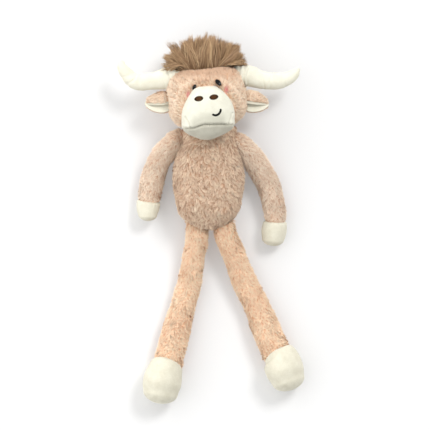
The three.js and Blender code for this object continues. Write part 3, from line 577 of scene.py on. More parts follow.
def grow_pile(places, normals, flows, pile, rng, trim):
    """Flat pointed hairs that gather into tufts: points, triangles, and each point's normal, share
    of the way to the tip and shade. The hairs are lit much like the skin that they lie over."""
    count = len(places)
    seeds = rng.choice(count, max(1, count // pile.per_tuft), replace=False)
    tuft, _ = nearest(places[seeds], places)
    tuft_turn = rng.normal(0, pile.turn, len(seeds))
    tuft_length = rng.uniform(0.86, 1.14, len(seeds))
    tuft_shade = rng.normal(0, 1.2, len(seeds))
    turn = 0.45 * wave_noise(places, 20, 11) + 0.3 * wave_noise(places, 8, 13)
    turn += tuft_turn[tuft] + rng.normal(0, 0.14, count)
    aside = np.cross(normals, flows)
    heading = flows * np.cos(turn)[:, None] + aside * np.sin(turn)[:, None]
    lean = pile.lean + 0.09 * wave_noise(places, 9, 12) + rng.normal(0, 0.08, count)
    length = pile.length * tuft_length[tuft] * rng.uniform(0.85, 1.15, count) * trim(places)
    length *= np.clip(1.25 + 1.25 * normals[:, 2], 0.5, 1)
    rise = normals * np.cos(lean)[:, None] + heading * np.sin(lean)[:, None]
    tips = places + rise * length[:, None]
    tips += pile.gather * (tips[seeds[tuft]] - tips)
    course = tips - places
    facing = unit(normals + (0, 0, SKY_TURN))
    side = unit(np.cross(facing, course))
    over = unit(np.cross(course, side))
    roots = places - normals * 0.4
    half = side * (pile.width / 2)
    points = np.stack([roots + half, roots - half, tips], 1).reshape(-1, 3)
    triangles = np.arange(3 * count).reshape(-1, 3)
    shade = np.repeat(tuft_shade[tuft] + 0.4 * rng.normal(0, 1, count), 3)
    tuft_tilt = rng.normal(0, 0.4, (len(seeds), 3))
    calm = np.clip(0.2 + 1.1 * normals[:, 2:], 0.2, 1)
    lit = np.repeat(unit(facing + 0.5 * over + tuft_tilt[tuft] * calm), 3, axis=0)
    return points, triangles, lit, np.tile((0, 0, 1), count), shade


def everywhere(places):
    return np.ones(len(places), bool)


def nowhere(places):
    return np.zeros(len(places))


def furred_mesh(name, skin, flows, pile, seed, keep=everywhere, trim=everywhere, dark=nowhere,
                marks=None):
    """A plush backing with its pile as one mesh. Dark lowers the hairs' shade value, as painted shade, and
    marks are named values for its material.
    """
    rng = np.random.default_rng(seed)
    most = MOST_FACES - len(skin.triangles)
    places, normals, heading = scatter(skin, flows, pile.room, most, rng, keep)
    hairs, sides, lit, tip_share, shade = grow_pile(places, normals, heading, pile, rng, trim)
    backing = len(skin.points)
    points = on_floor(np.vstack([skin.points, hairs]))
    mesh = make_mesh(name, points, [skin.triangles, sides + backing],
                     np.vstack([skin.normals, lit]))
    set_values(mesh, "tip", np.concatenate([np.zeros(backing), tip_share]))
    set_values(mesh, "shade", np.concatenate([np.zeros(backing), shade]) - dark(points))
    for mark, values_at in (marks or {}).items():
        set_values(mesh, mark, values_at(points))
    return mesh


# Materials

def new_material(name, values):
    """A material whose shader has these values, with its nodes and its shader."""
    material = bpy.data.materials.new(name)
    material.use_nodes = True
    shader = material.node_tree.nodes["Principled BSDF"]
    for socket, value in values.items():
        shader.inputs[socket].default_value = value
    return material, material.node_tree, shader


def shader_colours(*screen_colours):
    """Colours as a screen shows them, as the shader's linear ones."""
    for colour in screen_colours:
        shares = [value / 255 for value in colour]
        yield (*[c / 12.92 if c <= 0.04045 else ((c + 0.055) / 1.055) ** 2.4 for c in shares], 1)


def painted(material, colour):
    """The material with the colour that its nodes give."""
    tree = material.node_tree
    tree.links.new(colour, tree.nodes["Principled BSDF"].inputs["Base Color"])
    return material


def value_node(tree, name):
    node = tree.nodes.new("ShaderNodeAttribute")
    node.attribute_name = name
    return node.outputs["Fac"]


def noise_node(tree, scale, detail=2.0):
    """Noise in the piece's own coordinates, in metres."""
    place = tree.nodes.new("ShaderNodeTexCoord").outputs["Object"]
    node = tree.nodes.new("ShaderNodeTexNoise")
    node.inputs["Scale"].default_value = scale
    node.inputs["Detail"].default_value = detail
    tree.links.new(place, node.inputs["Vector"])
    return node.outputs["Fac"]


def range_node(tree, source, low, high, to_low, to_high):
    node = tree.nodes.new("ShaderNodeMapRange")
    for socket, value in zip(("From Min", "From Max", "To Min", "To Max"),
                             (low, high, to_low, to_high)):
        node.inputs[socket].default_value = value
    tree.links.new(source, node.inputs["Value"])
    return node.outputs["Result"]


def mix_node(tree, share, first, second):
    """A mix of two colours, each a colour or a socket, by a share that is a number or a socket."""
    node = tree.nodes.new("ShaderNodeMix")
    node.data_type = "RGBA"
    for number, value in ((0, share), (6, first), (7, second)):
        if isinstance(value, bpy.types.NodeSocket):
            tree.links.new(value, node.inputs[number])
        else:
            node.inputs[number].default_value = value
    return node.outputs[2]


def shifted(tree, colour, other, source, low, high, most):
    """A colour that nears another one, by up to that share, as a value goes from low to high."""
    return mix_node(tree, range_node(tree, source, low, high, 0, most), colour, other)


def plush_material(name, root, middle, tip, contrast, face=False):
    """Plush pile: darker at the roots, the backing's colour darkened as painted shade deep in the pile,
    paler at the tips, with tufts and patches of other shades. A face has blushing cheeks and a painted
    shadow where the hair hangs over it."""
    material, tree, _ = new_material(
        name, {"Roughness": 0.9, "Sheen Weight": 0.25, "Sheen Roughness": 0.5})
    root, middle, tip, pink = shader_colours(root, middle, tip, (238, 120, 140))
    along = value_node(tree, "tip")
    shade = value_node(tree, "shade")
    # painted shade: from the dark roots up to the pale tips
    colour = shifted(tree, root, middle, along, 0, 0.5, 1)
    colour = shifted(tree, colour, tip, along, 0.4, 1, 1)
    colour = shifted(tree, colour, root, noise_node(tree, 45, 3), 0.4, 0.7, 0.3)
    colour = shifted(tree, colour, tip, shade, 0, 2, contrast)
    colour = shifted(tree, colour, root, shade, 0, -2, contrast)
    if face:
        # the hair's painted shadow on the brow, then the cheeks' blush
        colour = mix_node(tree, value_node(tree, "painted_hair_shadow"), colour, root)
        colour = mix_node(tree, value_node(tree, "blush"), colour, pink)
    return painted(material, colour)


def minky_material(name, colour, shadow, low=None):
    """Smooth short-napped fabric with a soft mottle, and an optional low colour painted as shade low on the
    piece.
    """
    material, tree, shader = new_material(
        name, {"Roughness": 0.85, "Sheen Weight": 0.12, "Sheen Roughness": 0.4})
    colour, shadow, low_shade_colour = shader_colours(colour, shadow, low or shadow)
    colour = shifted(tree, colour, shadow, noise_node(tree, 120, 3), 0.35, 0.7, 0.5)
    colour = shifted(tree, colour, shadow, noise_node(tree, 900, 2), 0.35, 0.65, 0.35)
    # painted shade: mixed towards the low colour where the piece's low values are high
    if low:
        colour = mix_node(tree, value_node(tree, "low"), colour, low_shade_colour)
    nap = tree.nodes.new("ShaderNodeBump")
    nap.inputs["Strength"].default_value = 0.35
    nap.inputs["Distance"].default_value = 0.3 * MM
    tree.links.new(noise_node(tree, 1100, 3), nap.inputs["Height"])
    tree.links.new(nap.outputs["Normal"], shader.inputs["Normal"])
    return painted(material, colour)


def hair_material():
    """Long hair, dark at the roots as painted shade deep in the hair, each hair of its own shade."""
    material, tree, _ = new_material("hair_pile", {"Roughness": 0.6, "Sheen Weight": 0.15})
    dark, middle, pale = shader_colours((118, 85, 53), (173, 136, 98), (219, 186, 142))
    shade = value_node(tree, "shade")
    colour = shifted(tree, dark, middle, value_node(tree, "tip"), 0, 0.6, 1)
    colour = shifted(tree, colour, pale, shade, 0, 2, 0.9)
    return painted(material, shifted(tree, colour, dark, shade, 0, -2, 0.7))


def thread_material(name, colour, edge):
    """Satin stitches, darker where they go into the fabric."""
    material, tree, _ = new_material(name, {"Roughness": 0.6, "Specular IOR Level": 0.2})
    colour, edge = shader_colours(colour, edge)
    colour = mix_node(tree, value_node(tree, "rim"), colour, edge)
    strands = noise_node(tree, 2500, 2)
    return painted(material, shifted(tree, colour, edge, strands, 0.3, 0.7, 0.35))


def plastic_material(name, colour, other, noise, low, high, values):
    """Moulded plastic with a faint mottle."""
    material, tree, _ = new_material(name, values)
    colour, other = shader_colours(colour, other)
    mottle = noise_node(tree, noise, 2)
    return painted(material, shifted(tree, colour, other, mottle, low, high, 1))


body_plush = plush_material("body_plush", (198, 155, 124), (229, 197, 169), (246, 226, 200), 0.7)
head_plush = plush_material("head_plush", (214, 174, 142), (250, 222, 194), (254, 240, 218), 0.35,
                            face=True)
arm_plush = plush_material("arm_plush", (214, 172, 140), (245, 219, 193), (253, 239, 220), 0.4)
leg_plush = plush_material("leg_plush", (234, 182, 142), (255, 221, 186), (255, 237, 210), 0.35)
cream_minky = minky_material("cream_minky", (236, 233, 216), (220, 215, 193))
hoof_minky = minky_material("hoof_minky", (226, 222, 204), (203, 197, 175))
# Its low colour is a painted shade on the muzzle's lower band above the lip seam.
muzzle_minky = minky_material("muzzle_minky", (229, 227, 211), (211, 208, 190),
                              low=(186, 184, 168))
# The chin's minky is the muzzle's cream darkened, a painted shade for the chin's downward face.
shaded_chin_minky = minky_material("shaded_chin_minky", (200, 197, 182), (183, 179, 162))
hair_pile = hair_material()
brown_thread = thread_material("brown_thread", (94, 58, 24), (42, 22, 9))
black_thread = thread_material("black_thread", (10, 9, 9), (4, 4, 4))
eye_black = plastic_material(
    "eye_black", (4, 4, 4), (12, 11, 10), 700, 0.4, 0.8,
    {"Roughness": 0.35, "Specular IOR Level": 0, "Coat Weight": 1, "Coat Roughness": 0.02,
     "Coat IOR": 1.45})
washer_plastic = plastic_material(
    "washer_plastic", (233, 231, 226), (222, 220, 214), 300, 0.3, 0.7, {"Roughness": 0.5})


# Torso

def torso_rows():
    rows = [(0, TORSO_BOTTOM + PILE_DEPTH + (TORSO_LENGTH - PILE_DEPTH) * length,
             TORSO_HALF_DEPTH - REST_FLAT_DEPTH, TORSO_HALF_WIDTH * width, TORSO_HALF_DEPTH * depth)
            for length, width, depth in TORSO_ROWS]
    return grown(smooth_rows(rows, 90), -PILE_DEPTH)


def inside_torso(points):
    rows = torso_rows()
    half_width, half_depth = (np.interp(points[:, 1], rows[:, 1], rows[:, k]) for k in (3, 4))
    within = (points[:, 1] > rows[0, 1]) & (points[:, 1] < rows[-1, 1])
    away = np.hypot(points[:, 0] / half_width, (points[:, 2] - rows[0, 2]) / half_depth)
    return within & (away < 1)


def make_torso():
    skin = plush_skin(ring_grid(torso_rows(), 72))
    flows = np.tile((0.0, -1.0, 0.0), (len(skin.points), 1))
    mesh = furred_mesh("torso_plush", skin, flows, BODY_PILE, 1,
                       keep=lambda places: head_share(places) > 1)
    neck = Bend("torso", "head", (0, NECK_BEND[0], TORSO_HALF_DEPTH),
                (0, NECK_BEND[1], TORSO_HALF_DEPTH))
    add_piece("torso_plush", mesh, neck, body_plush,
              ("torso_cover", "torso_stuffing"))


# Limbs

def arm_rows(arm):
    rows = [(arm.sign * (SHOULDER[0] + ARM_REACH * out), SHOULDER[1] - ARM_DROP * down,
             SHOULDER[2] - ARM_LIFT * below, ARM_HALF_WIDTH * width, ARM_HALF_WIDTH * depth)
            for out, down, below, width, depth in arm.rows]
    return smooth_rows(with_round_end(rows, HAND_END), LIMB_RINGS)


def leg_rows(leg):
    rows = [(leg.hip_x + leg.reach * out, HIP_Y - LEG_DROP * down, HIP_Z - LEG_LIFT * below,
             LEG_HALF_WIDTH * width, LEG_HALF_WIDTH * depth)
            for out, down, below, width, depth in leg.rows]
    rows += [(leg.hip_x + leg.reach * out, HIP_Y - LEG_DROP * down,
              HIP_Z - LEG_LIFT + FOOT_RISE * rise, FOOT_HALF_WIDTH * width, FOOT_HALF_DEPTH * depth)
             for out, down, rise, width, depth in leg.foot_rows]
    return smooth_rows(with_round_end(rows, FOOT_END), LIMB_RINGS)


def hoof_grid(rows, tilt, sides=110):
    """A hoof's rings, which lean with its seam at first and stand square further on, its first
    ring's distance from the seam and the angle round each ring."""
    rows = even_rows(rows, 90)
    grid = ring_grid(rows, sides)
    course = unit((rows[1, :3] - rows[0, :3]) * (1, 1, 0))
    past = travelled(rows[:, :3])[:, None]
    rise = grid[..., 2] - rows[:, None, 2]
    lean = -rise * math.tan(tilt) * np.exp(-past / TILT_FADE)
    return grid + course * lean[..., None], past, circle(sides)[None, :]


def make_hoof(name, rows, tilt, body):
    """A minky hoof: the limb's end past its seam, drawn in and puckered where it is sewn."""
    grid, past, angle = hoof_grid(grown(rows, -MINKY_INSET), tilt)
    rng = np.random.default_rng(len(name))
    first, second = rng.uniform(0, 2 * math.pi, 2)
    pucker = np.sin(PUCKERS * angle + first) + 0.7 * np.sin(1.6 * PUCKERS * angle + second)
    push = PUCKER_DEPTH * pucker * np.exp(-past / PUCKER_LENGTH)
    push += MINKY_WAVE * wave_noise(grid, 20, 5) - SEAM_GROOVE * hump(past, SEAM_GROOVE_WIDTH)
    add_skin(name, pushed(grid, push), body, hoof_minky, (name,))


def make_limb(name, side, rows, seam_y, tilt, material, hoof, bend, root_x=0.0):
    """A plush limb with a minky hoof sewn on at the seam."""
    at = int(np.argmax(rows[:, 1] <= seam_y))
    course = unit((rows[at + 1, :3] - rows[at, :3]) * (1, 1, 0))
    normal = course * math.cos(tilt) + np.array((0, 0, 1)) * math.sin(tilt)
    plush_rows = even_rows(rows[:at + PLUSH_PAST_SEAM], 110)
    skin = plush_skin(ring_grid(grown(plush_rows, -PILE_DEPTH), 56))
    along, _ = nearest(plush_rows[:, :3], skin.points)
    flows = unit(np.gradient(plush_rows[:, :3], axis=0))[along]

    def before_seam(places):
        return (places - rows[at, :3]) @ -normal

    mesh = furred_mesh(
        f"{name}_plush_{side}", skin, flows, LIMB_PILE, len(side) + len(name),
        keep=lambda places: ((before_seam(places) > 0.3) & ~inside_torso(places)
                             & (np.abs(places[:, 0]) >= root_x)),
        trim=lambda places: np.clip(before_seam(places) / PILE_TRIM, 0.3, 1))
    add_piece(f"{name}_plush_{side}", mesh, bend, material,
              (f"{name}_cover_{side}", f"{name}_stuffing_{side}"))
    make_hoof(f"{hoof}_{side}", rows[at:], tilt, f"{name}_{side}")


def make_arm(arm):
    start, end = ((arm.sign * x, SHOULDER[1], SHOULDER[2]) for x in SHOULDER_BEND)
    make_limb("arm", arm.side, arm_rows(arm), SHOULDER[1] - ARM_DROP * arm.seam, WRIST_TILT,
              arm_plush, "hand_hoof", Bend("torso", f"arm_{arm.side}", start, end), ARM_PILE_FROM)


def make_leg(leg):
    start, end = ((leg.hip_x, y, HIP_Z) for y in HIP_BEND)
    make_limb("leg", leg.side, leg_rows(leg), HIP_Y - LEG_DROP * leg.seam, ANKLE_TILT,
              leg_plush, "foot_hoof", Bend("torso", f"leg_{leg.side}", start, end))


# Head

def outline_share(across, up):
    """How far out a place is in the head's rounded square, 1 on its edge."""
    power = np.where(up > 0, HEAD_TOP_POWER, HEAD_BOTTOM_POWER)
    return (np.abs(across) ** power + np.abs(up) ** power) ** (1 / power)


def head_share(points):
    """Less than 1 inside the head."""
    local = turned(points - HEAD_CENTRE, -HEAD_ROLL) / HEAD_HALF
    return outline_share(local[..., 0], local[..., 1]) ** HEAD_POWER + np.abs(local[..., 2]) ** HEAD_POWER


def head_grid(rings=110, sides=120):
    tilt = np.linspace(-math.pi / 2 + 0.03, math.pi / 2 - 0.03, rings)
    rise = np.sin(tilt)
    width = (1 - np.abs(rise) ** HEAD_POWER) ** (1 / HEAD_POWER)
    around = circle(sides)
    across, up = np.cos(around), np.sin(around)
    reach = 1 / outline_share(across, up)
    half = HEAD_HALF - PILE_DEPTH
    x = width[:, None] * across * reach * half[0]
    y = width[:, None] * up * reach * half[1]
    z = np.repeat((rise * half[2])[:, None], sides, 1)
    return HEAD_CENTRE + turned(np.stack([x, y, z], -1), HEAD_ROLL)


def head_height(x, y):
    flat = turned(np.array((x, y, 0.0)) - HEAD_CENTRE * (1, 1, 0), -HEAD_ROLL) / HEAD_HALF
    ahead = 1 - outline_share(flat[0], flat[1]) ** HEAD_POWER
    return HEAD_CENTRE[2] + HEAD_HALF[2] * ahead ** (1 / HEAD_POWER)


def head_surface(x, y):
    """The head's surface over a place in the picture plane, and its outward direction there."""
    height = head_height(x, y)
    slope = [head_height(x + 1, y) - height, head_height(x, y + 1) - height]
    return np.array((x, y, height)), unit(np.array((-slope[0], -slope[1], 1.0)))


def muzzle_half_widths(rise_share):
    """The muzzle's half width to the left and to the right at a rise."""
    fine = smooth_rows(MUZZLE_OUTLINE, 300)
    return [np.interp(rise_share, fine[:, 0], fine[:, side]) * MUZZLE_HALF_WIDTH for side in (1, 2)]


def muzzle_distance(points):
    """How far points lie outside the muzzle's outline in the picture plane, less than 0 inside."""
    rise = np.sin(np.linspace(-math.pi / 2, math.pi / 2, 90))
    left, right = muzzle_half_widths(rise)
    y = MUZZLE_CENTRE[1] + rise * MUZZLE_HALF_HEIGHT
    outline = np.vstack([np.stack([MUZZLE_CENTRE[0] - left, y, 0 * y], -1),
                         np.stack([MUZZLE_CENTRE[0] + right, y, 0 * y], -1)])
    _, far = nearest(outline, points * (1, 1, 0))
    rise_share = (points[:, 1] - MUZZLE_CENTRE[1]) / MUZZLE_HALF_HEIGHT
    left, right = muzzle_half_widths(np.clip(rise_share, -1, 1))
    away = points[:, 0] - MUZZLE_CENTRE[0]
    inside = (np.abs(rise_share) < 1) & (away > -left) & (away < right)
    return np.where(inside, -far, far)


def line_distance(x, y, line):
    """How far places in the picture plane are from a line of straight stretches."""
    spots = [np.array(spot) for spot in line]
    away = []
    for start, end in zip(spots, spots[1:]):
        course = end - start
        share = np.clip(((x - start[0]) * course[0] + (y - start[1]) * course[1]) / (course @ course), 0, 1)
        away.append(np.hypot(x - start[0] - share * course[0], y - start[1] - share * course[1]))
    return np.min(away, axis=0)


def crease_depth(points):
    """How deep in a crease of the face points are, 1 in its middle."""
    far = np.min([line_distance(points[:, 0], points[:, 1], line) for line in FACE_CREASES], axis=0)
    return hump(far, CREASE_WIDTH) * (points[:, 2] > FACE_LEVEL)


def make_head():
    skin = plush_skin(head_grid())
    points = skin.points
    far = muzzle_distance(points)
    above = RIM_LOW_SHARE + (1 - RIM_LOW_SHARE) * ramp(points[:, 1], *RIM_TOP)
    push = profile(far, MUZZLE_RIM) * ramp(points[:, 2], *RIM_FRONT) * above
    for eye in EYES:
        place, _ = head_surface(eye.x, eye.y)
        away = np.linalg.norm(points - place, axis=1)
        push -= EYE_SOCKET_DEPTH * hump(away, EYE_SOCKET_WIDTH)
    push += HEAD_WAVE * wave_noise(points, 24, 31) - CREASE_DEPTH * crease_depth(points)
    points = points + skin.normals * push[:, None]
    skin = Skin(points, skin.triangles, point_normals(points, skin.triangles))
    flows = unit((points - HEAD_FLOW_FROM) * (1, 1, 0.3)) + np.array((0, 0.25, 0))

    def keep(places):
        bare = (muzzle_distance(places) < -1.0) & (places[:, 2] > BARE_LEVEL)
        for eye in EYES:
            local = turned(places - head_surface(eye.x, eye.y)[0], -eye.tilt)
            width, height = eye.half[0] + EYE_MARGIN, eye.half[1] + EYE_MARGIN
            bare |= np.hypot(local[:, 0] / width, local[:, 1] / height) < 1
        crown = ((places[:, 0] - CROWN_X) / CROWN_HALF_WIDTH) ** 2
        crown += ((places[:, 2] - CROWN_Z) / CROWN_HALF_DEPTH) ** 2
        bare |= (crown < 0.8) & (places[:, 1] > HEAD_CENTRE[1] + BARE_CROWN)
        return ~bare

    def blush(places):
        far = [np.hypot((places[:, 0] - x) / CHEEK_HALF[0], (places[:, 1] - y) / CHEEK_HALF[1])
               for x, y in CHEEKS]
        return 0.8 * sum(hump(share, 1) for share in far) * (places[:, 2] > FACE_LEVEL)

    # Painted shadow of the hair on the brow: the pile there is mixed towards its root colour
    def painted_hair_shadow(places):
        away = np.abs(places[:, 0] - HAIR_MIDDLE[0])
        width = np.clip((HAIR_SHADE_HALF_WIDTH - away) / SHADE_EDGE, 0, 1)
        height = ramp(places[:, 1], HAIR_SHADE_FROM, HAIR_SHADE_FROM + HAIR_SHADE_DEPTH)
        return 0.75 * width * height * (places[:, 2] > FACE_LEVEL)

    # The face's creases are also painted darker in the pile, a painted shade in them.
    mesh = furred_mesh("head_plush", skin, flows, HEAD_PILE, 2, keep=keep,
                       dark=lambda places: 3 * crease_depth(places),
                       marks={"blush": blush, "painted_hair_shadow": painted_hair_shadow})
    add_piece("head_plush", mesh, "head", head_plush,
              ("head_cover", "head_stuffing"))


# Muzzle

def lip_height(x):
    share = ramp(x, LIP_STEP_FROM, LIP_STEP_FROM + LIP_STEP_WIDTH)
    return LIP_LOW_Y + LIP_STEP * share**2 * (3 - 2 * share)


def muzzle_grid(rings=120, sides=200):
    rows = smooth_rows(MUZZLE_ROWS, rings)
    size = rows[:, 1:]
    angle = circle(sides)[None, :]
    rise = np.sin(angle)
    left, right = muzzle_half_widths(rise)
    reach = np.where(np.cos(angle) > 0, right, -left)
    size = np.maximum(size - MINKY_INSET / MUZZLE_HALF_WIDTH, 0.002)
    x = MUZZLE_CENTRE[0] + reach * size
    y = MUZZLE_CENTRE[1] + rise * MUZZLE_HALF_HEIGHT * size
    z = np.repeat((MUZZLE_BACK + MUZZLE_LENGTH * rows[:, 0])[:, None], sides, 1)
    return np.stack([x, y, z], -1)


def muzzle_shape():
    """The muzzle's dented surface and each point's distance above the lip seam."""
    points, groups = closed_skin(muzzle_grid())
    normals = point_normals(points, as_triangles(*groups))
    x, y, z = points.T
    above = y - lip_height(x)
    front = ramp(z - MUZZLE_BACK, 4, 14) * np.clip(1.5 * normals[:, 2], 0.15, 1)
    near_seam = np.exp(-np.abs(above) / LIP_PUCKER_HEIGHT)
    puckers = np.sin(x * 1.9 + 1.3 * np.sin(x * 0.6))
    push = profile(above, LIP_PROFILE) + LIP_PUCKER_DEPTH * near_seam * puckers
    push = push * front + MUZZLE_WAVE * wave_noise(points, 20, 41)
    for dart in DARTS:
        push += profile(line_distance(x, y, dart), DART_PROFILE) * ramp(z - MUZZLE_BACK, 6, 14)
    return points + normals * push[:, None], groups, above


def make_muzzle():
    """The muzzle's two panels. Returns its surface, to lay threads on."""
    points, groups, above = muzzle_shape()
    for name, sign in (("muzzle_upper", 1), ("muzzle_chin", -1)):
        kept = [group[sign * above[group].mean(1) >= 0] for group in groups]
        used = np.unique(np.concatenate([group.ravel() for group in kept]))
        renumber = np.zeros(len(points), int)
        renumber[used] = np.arange(len(used))
        mesh = make_mesh(name, points[used], [renumber[group] for group in kept])
        # The low values paint shade on the muzzle's lower band above the lip seam, fading out to its sides.
        away = np.abs(points[used, 0])
        width = np.clip((MUZZLE_SHADE_HALF_WIDTH - away) / SHADE_EDGE, 0, 1)
        set_values(mesh, "low", np.clip(1 - above[used] / MUZZLE_SHADE_HEIGHT, 0, 1) * width)
        nodes = (name, "muzzle_stuffing") if sign > 0 else (name,)
        material = muzzle_minky if sign > 0 else shaded_chin_minky
        piece = add_piece(name, mesh, "head", material, nodes)
        wall = piece.modifiers.new("wall", "SOLIDIFY")
        wall.thickness = MUZZLE_WALL * MM
        wall.offset = -1
    return BVHTree.FromPolygons(points.tolist(), listed(groups))


# Embroidery

def thread(surface, start, end, steps=7, sides=6):
    """One stitch: a flattened tube that arches from its start to its end over the fabric."""
    rings = []
    start, end = np.array(start), np.array(end)
    course = unit(end - start)
    across = np.array((-course[1], course[0], 0))
    angle = circle(sides)[:, None]
    for share in np.linspace(0, 1, steps):
        flat = start + (end - start) * share
        arch = math.sin(math.pi * min(max(share, 0.02), 0.98))
        hit, normal, _, _ = surface.ray_cast(Vector((*flat, 200)), Vector((0, 0, -1)))
        normal = np.array(normal)
        size = THREAD_PITCH * (0.2 + 0.4 * arch**0.4)
        centre = np.array(hit) + normal * (THREAD_HEIGHT * arch**0.5 - 0.45)
        rings.append(centre + (across * np.cos(angle) + normal * np.sin(angle)) * size)
    return np.array(rings)


def add_threads(name, surface, stitches, material, rim_of):
    points, groups, offset, rims = [], [], 0, []
    for start, end in stitches:
        some, faces = closed_skin(thread(surface, start, end))
        points.append(some)
        groups += [group + offset for group in faces]
        offset += len(some)
        rims.append(rim_of(some))
    mesh = make_mesh(name, np.vstack(points), groups)
    set_values(mesh, "rim", np.concatenate(rims))
    add_piece(name, mesh, "head", material, (name,))


def make_nostril(surface, side, centre):
    centre = np.array((*centre, 0.0))
    stitches = []
    count = int(2 * NOSTRIL_HALF[0] / THREAD_PITCH)
    for number in range(count):
        across = (number + 0.5) / count * 2 - 1
        half = NOSTRIL_HALF[1] * math.sqrt(1 - across**2)
        slant = half * 0.12
        ends = np.array([(across * NOSTRIL_HALF[0] + sign * slant, sign * half, 0)
                         for sign in (-1, 1)])
        stitches.append((centre + turned(ends, NOSTRIL_TILT))[:, :2])

    def rim_of(points):
        flat = turned(points - centre, -NOSTRIL_TILT)
        far = np.hypot(flat[:, 0] / NOSTRIL_HALF[0], flat[:, 1] / NOSTRIL_HALF[1])
        return ramp(far, 0.5, 0.85)

    add_threads(f"nostril_{side}", surface, stitches, brown_thread, rim_of)


def make_smile(surface):
    line = smooth_rows(SMILE, 200)
    pitch = SMILE_PITCH_SHARE * THREAD_PITCH
    count = int(travelled(line)[-1] / pitch)
    course = unit(np.gradient(line, axis=0))
    stitches = []
    for number in range(count):
        at = int((number + 0.5) / count * 199)
        to_end = min(number + 0.5, count - number - 0.5) * pitch / (SMILE_STROKE / 2)
        half = SMILE_STROKE / 2 * math.sqrt(1 - max(0, 1 - to_end) ** 2)
        side = np.array((-course[at, 1], course[at, 0])) * half + course[at] * 0.25
        stitches.append((line[at] - side, line[at] + side))
    add_threads("smile_stitch", surface, stitches, black_thread, nowhere)


# Eyes

def make_eye(eye):
    place, normal = head_surface(eye.x, eye.y)
    rings, sides = 40, 48
    angle = np.linspace(0.03, math.pi - 0.03, rings)[:, None]
    around = circle(sides)[None, :]
    z = np.cos(angle) * np.ones_like(around)
    dome = np.stack([np.sin(angle) * np.cos(around) * eye.half[0],
                     np.sin(angle) * np.sin(around) * eye.half[1],
                     np.where(z > 0, z * eye.half[2], z * 2 * eye.half[2])], -1)
    aim = Vector((0, 0, 1)).rotation_difference(Vector(normal)).to_matrix()
    dome = turned(dome, eye.tilt) @ np.array(aim).T
    points, groups = closed_skin(dome + place + normal * EYE_RISE)
    name = f"eye_{eye.side}"
    add_piece(name, make_mesh(name, points, groups), "head", eye_black, (name,))
    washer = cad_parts[f"eye_washer_{eye.side}"]
    washer.data.materials.clear()
    washer.data.materials.append(washer_plastic)


# Horns

def make_horn(horn):
    rows = [(HEAD_CENTRE[0] + horn.sign * (HORN_ROOT_X + HORN_REACH * out),
             horn.root_y + HORN_RISE * up, HORN_Z,
             HORN_RADIUS * size, HORN_RADIUS * size * HORN_DEPTH_SHARE)
            for out, up, size in horn.rows]
    rings, sides = 220, 80
    grid = ring_grid(grown(smooth_rows(with_round_end(rows, HORN_END), rings), -MINKY_INSET), sides)
    along = np.linspace(0, 1, rings)[:, None]
    angle = circle(sides)[None, :]
    rng = np.random.default_rng(60 + horn.sign)
    push = MINKY_WAVE * wave_noise(grid, 16, 63)
    for place, depth in horn.creases:
        facing, slant = rng.uniform(0.6, 2.6), rng.uniform(-0.02, 0.02)
        reach = np.clip(np.cos(angle - facing) + 0.4, 0, 1)
        line = np.abs(along - place - slant * np.sin(angle * 2 + facing)) / HORN_CREASE_WIDTH
        push += depth * reach * profile(line, HORN_CREASE_PROFILE)
    add_skin(f"horn_{horn.side}", pushed(grid, push), "head", cream_minky,
             (f"horn_cover_{horn.side}", f"horn_stuffing_{horn.side}"))


# Ears

def ear_hinge_x(ear):
    return HEAD_CENTRE[0] + ear.sign * (HEAD_HALF[0] - EAR_HINGE_INSET)


def ear_sheet(ear, near, wall, fold_to, length_to, length_steps=60, fold_steps=50):
    """A folded leaf as a closed grid: round the fold on its outer side and back inside."""
    fold = smooth_rows(EAR_FOLD, 400)
    course = np.gradient(fold, axis=0)
    inward = unit(np.stack([-course[:, 1], course[:, 0]], -1))
    picked = (np.linspace(0, fold_to, fold_steps) * 399).astype(int)
    outline = smooth_rows(EAR_OUTLINE, 200)
    outline = outline[outline[:, 0] <= length_to]
    rings = []
    for length_share, width_share in even_rows(outline, length_steps):
        flat = fold[picked] * (EAR_HALF_WIDTH * width_share, EAR_FOLD_DEPTH * width_share)
        strip = np.vstack([flat + inward[picked] * near,
                           (flat + inward[picked] * (near + wall))[::-1]])
        out = EAR_STAND_OFF + EAR_LENGTH * length_share
        set_back = EAR_SET_BACK / EAR_FOLD_DEPTH * (1 - length_share)
        x = ear_hinge_x(ear) + ear.sign * (out + set_back * strip[:, 1])
        y = ear.y - ear.tip_drop * length_share + strip[:, 0]
        rings.append(np.stack([x, y, EAR_Z + strip[:, 1] - EAR_WALL], -1))
    return np.array(rings)


def make_ear(ear):
    outer = plush_skin(ear_sheet(ear, near=0.6, wall=1.2, fold_to=0.93, length_to=0.96))
    flows = np.tile((float(ear.sign), -0.15, 0.0), (len(outer.points), 1))
    lining = ear_sheet(ear, near=1.8, wall=LINING_WALL, fold_to=1.0, length_to=1.03)

    def keep(places):
        _, far = nearest(lining.reshape(-1, 3), places)
        return (far > 1.0) & (head_share(places) > 0.95)

    start, end = ((ear_hinge_x(ear) + ear.sign * out, ear.y, EAR_Z) for out in EAR_BEND)
    bend = Bend("head", f"ear_{ear.side}", start, end)
    mesh = furred_mesh(f"ear_plush_{ear.side}", outer, flows, EAR_PILE, 7, keep=keep)
    add_piece(mesh.name, mesh, bend, head_plush, (f"ear_outer_{ear.side}",))
    add_skin(f"ear_lining_{ear.side}", lining, bend, cream_minky, (f"ear_lining_{ear.side}",))


# Hair

def crown_points(x, z):
    """The head's top at x and z, a little sunk."""
    local_x, local_z = (x - HEAD_CENTRE[0]) / HEAD_HALF[0], (z - HEAD_CENTRE[2]) / HEAD_HALF[2]
    outline = (1 - np.abs(local_z) ** HEAD_POWER) ** (HEAD_TOP_POWER / HEAD_POWER)
    up = np.maximum(outline - np.abs(local_x) ** HEAD_TOP_POWER, 0) ** (1 / HEAD_TOP_POWER)
    y = HEAD_CENTRE[1] + HEAD_HALF[1] * up + (x - HEAD_CENTRE[0]) * math.tan(HEAD_ROLL)
    return np.stack([x, y - HAIR_SINK, z], -1)


